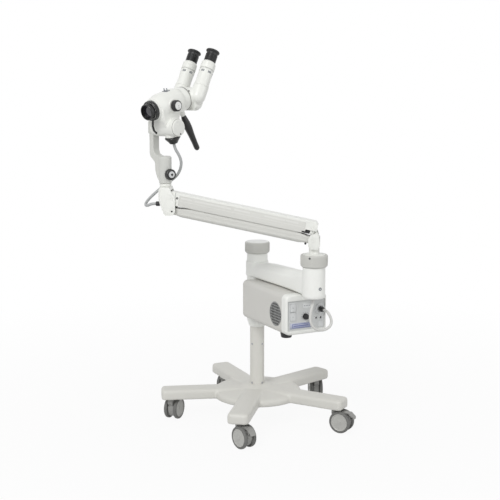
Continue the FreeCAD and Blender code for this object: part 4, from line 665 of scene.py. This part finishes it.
panel = boxRun(boxSection(box["panelHalf"], box["panelLow"], box["panelHigh"], box["panelCorner"]),
               box["panelFace"] - 3, box["panelFace"])
holes = [patch(panelMap["buttons"], level, 20, 27, 1, 6) for level in panelMap["buttonLevels"]]
holes.append(moved(roundHole(3.1), onPanel(*panelMap["knob"]) @ toX))
holes += [moved(roundHole(3.5), onPanel(*at) @ toX) for at in panelMap["sockets"]]
finished("panel", cutBy(panel, *holes), armAt, "support", panelFoil, "control_panel", edge=0.3)
port = lathe([(6.6, -1), (17, -1), (17, 4), (16, 5), (11.5, 5), (10, 3.4), (6.6, 3.4)], 64)
finished("port", moved(port, onPanel(*panelMap["port"]) @ toX), armAt, "support", buttonGrey, edge=0.4)
rims = [moved(lathe([(3.4, 0), (5.2, 0), (5, 0.8), (3.6, 0.8)], 40), onPanel(*at) @ toX)
        for at in panelMap["sockets"]]
surround = cutBy(patch(*panelMap["surround"], 0.4),
                 *(patch(panelMap["buttons"], level, 20, 27, 3, 3) for level in panelMap["buttonLevels"]))
trim = together(surround, *(patch(*panelMap[kind]) for kind in ("sideStrip", "lowPlate", "highPlate")), *rims)
finished("panelTrim", trim, armAt, "support", buttonGrey, edge=0.3)
ticks = [moved(slab(0.5, 1.0, 3, (0, 0, panelMap["tickRadius"])),
               onPanel(*panelMap["knob"]) @ Matrix.Rotation(math.radians(turn), 4, "X"))
         for turn in range(-120, 121, 30)]
middle, level = panelMap["highPlate"][:2]
label = [patch(middle + 6 * n, level, 3.5, 2.2, 1.0) for n in (-1.6, -0.6, 0.4, 1.4)]
buttonMarks = [patch(panelMap["buttons"], level, 5, 1, 3.2) for level in panelMap["buttonLevels"][::-1]]
finished("panelMarks", together(*ticks, *label, *buttonMarks), armAt, "support", markGrey, edge=0)
finished("paleBand", patch(*panelMap["band"]), armAt, "support", paleBlue, edge=0)
blueFrame = cutBy(patch(*panelMap["frame"]), patch(*panelMap["frameOpening"], 3))
finished("blueFrame", together(blueFrame, patch(*panelMap["frameBar"])), armAt, "support", blue, edge=0)
softened("vent_grille", "support", ventGrey, 0.3)
softened("fan_rotor", "fan", black, 0.4)
softened("lamp_module", "support", darkInside, 0.5)
softened("box_foot", "support", blackRubber, 1.2)
softened("light_guide_plug", "support", black, 0.8)
softened("brightness_knob", "brightness", black, 0.8)
softened("lamp_button", "lamp_button", buttonGrey, 0.8)
softened("standby_button", "standby_button", buttonGrey, 0.8)
print("lamp box done")


def flushScrew():
    # a screw that stands only 0.3 mm proud of its face
    return lathe([(0, -1), (3.5, -1), (3.5, 0.15), (3.2, 0.3), (1.3, 0.3), (1.1, -0.4), (0, -0.4)], 24)


# swing arm
softened("arm_yoke", "yoke", castPaint, 3.0)
softened("upper_link", "upper_arm", headPaint, 1.6)
softened("arm_side_panels", "upper_arm", panelSide, 0.3)
softened("spring_cartridge", "upper_arm", steel, 0.5)
softened("lower_link", "lower_arm", linkPaint, 1.2)
softened("yoke_pins", "yoke", castPaint, 0.5)
softened("bracket_pins", "arm_end", headPaint, 0.5)
# what the links carry, along, across and up from their rear pivots; a raised strip is (middle, length),
# a block is its three sizes and its middle
link = {"strips": ((401, 34), (317, 116), (224, 50), (120, 66), (65, 40)), "stripWidth": 50.5,
        "stripLevel": 6, "line": (398, 50.4, 1.4, (224, 0, -3)), "hole": (13, 50.4, 6.6, (24.5, 0, -16.6)),
        "notch": (14, 42, 9, (12, 0, -15.6)), "end": (14, 38, 12, (-1, 0, -13)), "seam": 438,
        "seamHeight": 40, "screw": (431, 25, 4), "lowerScrew": (19, 20, -13), "dotOut": 30.9}
raised = [slab(length, link["stripWidth"], 5, (middle, 0, link["stripLevel"]))
          for middle, length in link["strips"]]
strips = together(*raised, slab(*link["line"]))
finished("linkStrips", strips, upperAt, "upper_arm", stripPaint, edge=0.2)
# painted shade: black blocks fill the hole and notch under the link's rear end and stand for the shade inside
# them
linkHoleShade = together(slab(*link["hole"]), slab(*link["notch"]))
finished("linkHoleShade", linkHoleShade, upperAt, "upper_arm", black, edge=1.5)
finished("linkEnd", slab(*link["end"]), upperAt, "upper_arm", headPaint, edge=2.0)
linkSeam = cutBy(slab(0.9, 50.3, link["seamHeight"], (link["seam"], 0, 0)),
                 slab(5, 49.6, 60, (link["seam"], 0, 0)))
finished("linkSeams", linkSeam, upperAt, "upper_arm", markGrey, edge=0)
dotAt = Matrix.Translation(farLower) @ spot(0, 0, 0, stand["swingHeading"]) @ spot(0, link["dotOut"], 0) @ toY
finished("bracketDot", lathe([(0, 0), (2.8, 0), (2.8, 0.5), (0, 0.5)], 24), dotAt, "arm_end", black, edge=0)
finished("linkScrew", flushScrew(), upperAt @ spot(*link["screw"]) @ toY, "upper_arm", black, edge=0.2)
finished("lowerScrew", flushScrew(), lowerAt @ spot(*link["lowerScrew"]) @ toY, "lower_arm", black, edge=0.2)
softened("cable_grommet", "arm_end", blackRubber, 1.5)
softened("end_bracket", "arm_end", headPaint, 2.0)
# two upper corners of the swivel bracket are taken off
corner = {"sizes": (30, 40, 60), "across": 29, "out": -50, "level": 1042}
corners = [moved(slab(*corner["sizes"], (side * corner["across"], corner["out"], corner["level"])), swivelAt)
           for side in (1, -1)]
melted("swivel_bracket", "swivel", swivelPaint, 1.3, 4, cut=corners)
print("swing arm done")

# head
melted("microscope_body", "head", headPaint, 1.4, 3)
axisAt = headAt @ spot(0, 0, stand["axisRise"])
# the elbow's drum, cut off flat at the plane of the joint
elbow = {"along": -122, "drop": -11, "jointPlane": -86.5}
drum = moved(lathe([(0, -45), (23, -45), (33, -35), (33, 35), (23, 45), (0, 45)], 72),
             spot(elbow["along"], 0, elbow["drop"]) @ toY)
drum = moved(cutBy(drum, slab(40, 100, 80, (elbow["jointPlane"], 0, elbow["drop"]))), axisAt)
melted("binocular_housing", "head", headPaint, 1.4, 5, drum)
softened("housing_cap", "head", headPaint, 0.8)
softened("light_guide_socket", "head", black, 1.2)
softened("handle", "head", black, 1.5)
softened("focus_ring", "focus", black, 0.5)
softened("objective_cell", "objective", black, 0.5)
softened("objective_lens", "objective", lens, 0.2)
softened("filter_slider", "filter", markGrey, 0.4)


# the two hand wheels: a fluted black rim with a pale cap in it
def wheelRim(wheel):
    radius, height, flute, inner = wheel["radius"], wheel["height"], wheel["fluteRadius"], wheel["cap"]
    rim = lathe([(0, 0), (radius - 3, 0), (radius, 2.5), (radius, height - 4), (radius - 1.5, height - 2),
                 (inner + 1.2, height - 1), (inner, height - 2.5), (0, height - 2.5)], 96)
    notches = [moved(lathe([(0, -1), (flute, -1), (flute, height + 1), (0, height + 1)], 12),
                     spot(0, 0, 0, 360 / wheel["flutes"] * n) @ spot(radius + flute * 0.5, 0, 0))
               for n in range(wheel["flutes"])]
    return cutBy(rim, together(*notches))


def wheelCap(wheel):
    radius, height, foot = wheel["cap"] - 0.1, wheel["height"], wheel["capFoot"]
    return lathe([(0, foot), (radius, foot), (radius, height - 0.6), (radius - 0.7, height), (0, height)], 72)


changer = {"radius": 17.5, "height": 18, "flutes": 24, "fluteRadius": 1.6, "cap": 12.6, "capFoot": 14,
           "along": -17, "across": 44.5}
changerAt = axisAt @ spot(changer["along"], changer["across"], 0) @ toY
finished("changerRim", wheelRim(changer), changerAt, "magnification", black, "magnification_knob", edge=0.3)
finished("changerCap", wheelCap(changer), changerAt, "magnification", white, edge=0.3)
changerMark = together(slab(1.4, 6, 0.5, (0, 6, changer["height"])),
                       slab(4, 1.2, 0.5, (0, 0, changer["height"])))
finished("changerMark", changerMark, changerAt, "magnification", markGrey, edge=0)
tension = {"radius": 17, "height": 18, "flutes": 16, "fluteRadius": 2.0, "cap": 10.5, "capFoot": 13,
           "heading": 78, "out": 20.5, "level": 893}
tensionAt = swivelAt @ spot(0, 0, tension["level"], tension["heading"]) @ spot(tension["out"], 0, 0) @ toX
finished("tensionRim", wheelRim(tension), tensionAt, "tension", black, "tension_knob", edge=0.4)
finished("tensionCap", wheelCap(tension), tensionAt, "tension", buttonGrey, edge=0.3)
tensionScrewAt = tensionAt @ spot(0, 0, tension["height"] - 0.1)
finished("tensionScrew", socketScrew(0.9), tensionScrewAt, "tension", black, edge=0.1)

# the joint behind the barrel, and small screws and pins of the head
joint = {"front": -98.2, "rear": -103.6, "radius": 37.3, "inner": 30, "screwTurns": (13, 128),
         "screwLevel": -105, "screwOut": 36.9}
cover = {"radius": 26.9, "inner": 25.6, "foot": 58.1, "top": 59, "screw": (-1, 62.9, -20)}
jointSeam = lathe([(joint["inner"], joint["rear"]), (joint["radius"], joint["rear"]),
                   (joint["radius"], joint["front"]), (joint["inner"], joint["front"])], 96)
finished("jointSeam", jointSeam, barrelAt, "head", seamGrey, edge=0.6)
screwAt = spot(joint["screwOut"], 0, joint["screwLevel"]) @ toX
jointScrews = [moved(socketScrew(0.6), spot(0, 0, 0, turn) @ screwAt) for turn in joint["screwTurns"]]
finished("jointScrews", together(*jointScrews), barrelAt, "head", darkInside, edge=0.1)
coverSeam = lathe([(cover["inner"], cover["foot"]), (cover["radius"], cover["foot"]),
                   (cover["radius"], cover["top"]), (cover["inner"], cover["top"])], 96)
finished("coverSeam", coverSeam, headAt @ toY, "head", seamGrey, edge=0)
finished("coverScrew", socketScrew(0.6), headAt @ spot(*cover["screw"]) @ toY, "head", darkInside, edge=0.1)
print("head done")

# eyepieces: tube, ring with its scale, and ribbed rubber cup; the profiles run up the tube's own axis
eyepiece = {"along": -127.5, "across": 41, "lean": -42, "ticks": 40, "cupRibs": 6, "ribPitch": 4.4,
            "ribFoot": 120}
tubeProfile = [(0, 33.4), (24.3, 33.4), (24, 36), (22.5, 46), (22.5, 92), (16.5, 92), (16.5, 138),
               (12.5, 138), (11.5, 135), (0, 136)]
ringProfile = [(16.6, 92.5), (22.6, 92.5), (23.5, 93.4), (23.5, 106.5), (22.5, 107.5), (22.5, 108.5),
               (23, 109), (23, 113.5), (19.5, 118.5), (16.6, 118.5)]
cupProfile = [(16.6, 119), (18.6, 119), (19, 119.5)]
for rib in range(eyepiece["cupRibs"]):
    low = eyepiece["ribFoot"] + eyepiece["ribPitch"] * rib
    cupProfile += [(19, low), (19, low + 2.6), (17.8, low + 3), (17.8, low + 3.8)]
cupProfile += [(18.2, 148), (18, 150.5), (22, 154.5), (22, 157.5), (20.8, 159), (18.6, 158.6), (16.6, 153)]
for side, which in ((1, "near"), (-1, "far")):
    tubeAt = axisAt @ spot(eyepiece["along"], side * eyepiece["across"], 0, 0, eyepiece["lean"])
    finished(f"tube_{which}", lathe(tubeProfile, 96), tubeAt, f"tube_{which}", headPaint,
             f"eyepiece_tube_{which}", edge=0.8)
    finished(f"diopter_{which}", lathe(ringProfile, 96), tubeAt, f"diopter_{which}", headPaint,
             f"diopter_ring_{which}", edge=0.4)
    ticks = [moved(slab(0.5, 0.8, 3.4 if n % 5 == 0 else 2.2, (22.4, 0, 89.6)),
                   spot(0, 0, 0, 360 / eyepiece["ticks"] * n)) for n in range(eyepiece["ticks"])]
    figures = [moved(slab(1.0, 2.9, 7, (22.1, 0, 81.5)), spot(0, 0, 0, turn + offset))
               for turn in range(15, 360, 60) for offset in (-10, 0, 10)]
    finished(f"scale_{which}", together(*ticks, *figures), tubeAt, f"tube_{which}", markGrey, edge=0)
    finished(f"cup_{which}", lathe(cupProfile, 96), tubeAt, f"eyecup_{which}", blackRubber, f"eyecup_{which}",
             edge=0.4)
print("eyepieces done")

# floor, lamps and the white surroundings
studio = {"floor": 45.0, "ambient": (0.29, 0.55), "bounce": 0.66, "aim": (0, -0.1, 0.6),
          "key": {"at": (-4.9, -3.8, 4.8), "size": 3.2, "watts": 250},
          "fill": {"at": (3.2, -5.2, 2.6), "size": 4.4, "watts": 66}}
# camera, glossy and transmission rays see a white world; the rest get a dimmer light that grows upwards
world = bpy.data.worlds.new("studio")
world.use_nodes = True
bpy.context.scene.world = world
tree = world.node_tree
tree.nodes.clear()
output = tree.nodes.new("ShaderNodeOutputWorld")
rays = tree.nodes.new("ShaderNodeLightPath")
both = tree.nodes.new("ShaderNodeMixShader")
ambient, backdrop = tree.nodes.new("ShaderNodeBackground"), tree.nodes.new("ShaderNodeBackground")
direction = tree.nodes.new("ShaderNodeTexCoord")
split, upward = tree.nodes.new("ShaderNodeSeparateXYZ"), tree.nodes.new("ShaderNodeMapRange")
upward.inputs["From Min"].default_value = -1.0
upward.inputs["To Min"].default_value, upward.inputs["To Max"].default_value = studio["ambient"]
tree.links.new(direction.outputs["Generated"], split.inputs[0])
tree.links.new(split.outputs["Z"], upward.inputs["Value"])
tree.links.new(upward.outputs[0], ambient.inputs["Strength"])
backdrop.inputs["Strength"].default_value = 1.0
for background in (ambient, backdrop):
    background.inputs["Color"].default_value = (1, 1, 1, 1)
either, seenBy = tree.nodes.new("ShaderNodeMath"), tree.nodes.new("ShaderNodeMath")
for chooser in (either, seenBy):
    chooser.operation = "MAXIMUM"
tree.links.new(rays.outputs["Is Camera Ray"], either.inputs[0])
tree.links.new(rays.outputs["Is Glossy Ray"], either.inputs[1])
tree.links.new(either.outputs[0], seenBy.inputs[0])
tree.links.new(rays.outputs["Is Transmission Ray"], seenBy.inputs[1])
tree.links.new(seenBy.outputs[0], both.inputs[0])
tree.links.new(ambient.outputs[0], both.inputs[1])
tree.links.new(backdrop.outputs[0], both.inputs[2])
tree.links.new(both.outputs[0], output.inputs[0])

# the rays that see white surroundings see a white floor too, with a trace of its own shade near the stand
ground = bmesh.new()
bmesh.ops.create_grid(ground, x_segments=1, y_segments=1, size=studio["floor"])
floorMesh = bpy.data.meshes.new("floor")
ground.to_mesh(floorMesh)
ground.free()
floor = bpy.data.objects.new("floor", floorMesh)
bpy.context.scene.collection.objects.link(floor)
floorPaint = Finish("floorPaint", 0.9)
floorPaint.set("Base Color", (studio["bounce"],) * 3 + (1,))
glow = floorPaint.node("ShaderNodeEmission", {}, {"Color": (1, 1, 1, 1), "Strength": 1.0})
seen = floorPaint.node("ShaderNodeLightPath", {}, {}, "Is Camera Ray")
for ray in ("Is Glossy Ray", "Is Transmission Ray"):
    seen = seen.maths("MAXIMUM", seen, floorPaint.node("ShaderNodeLightPath", {}, {}, ray))
groundPoint = floorPaint.node("ShaderNodeNewGeometry", {}, {}, "Position")
spread = floorPaint.node("ShaderNodeVectorMath", {"operation": "LENGTH"}, {0: groundPoint}, "Value")
whiteness = floorPaint.node("ShaderNodeMapRange", {}, {"Value": spread, "From Min": 0.4, "From Max": 2.2,
                                                       "To Min": 0.93, "To Max": 1.0})
blended = floorPaint.node("ShaderNodeMixShader", {}, {0: seen * whiteness})
floorPaint.tree.links.new(floorPaint.shader.outputs[0], blended.socket.node.inputs[1])
floorPaint.tree.links.new(glow.socket, blended.socket.node.inputs[2])
floorPaint.tree.links.new(blended.socket, floorPaint.output.inputs[0])
floorMesh.materials.append(floorPaint.material)


for name in ("key", "fill"):
    lamp = bpy.data.lights.new(name, "AREA")
    lamp.shape = "DISK"
    lamp.size = studio[name]["size"]
    lamp.energy = studio[name]["watts"]
    holder = bpy.data.objects.new(name, lamp)
    bpy.context.scene.collection.objects.link(holder)
    away = Vector(studio[name]["at"]) - Vector(studio["aim"])
    holder.matrix_world = (Matrix.Translation(studio[name]["at"])
                           @ away.to_track_quat("Z", "Y").to_matrix().to_4x4())
bpy.context.scene.view_settings.view_transform = "Standard"
print("studio done")
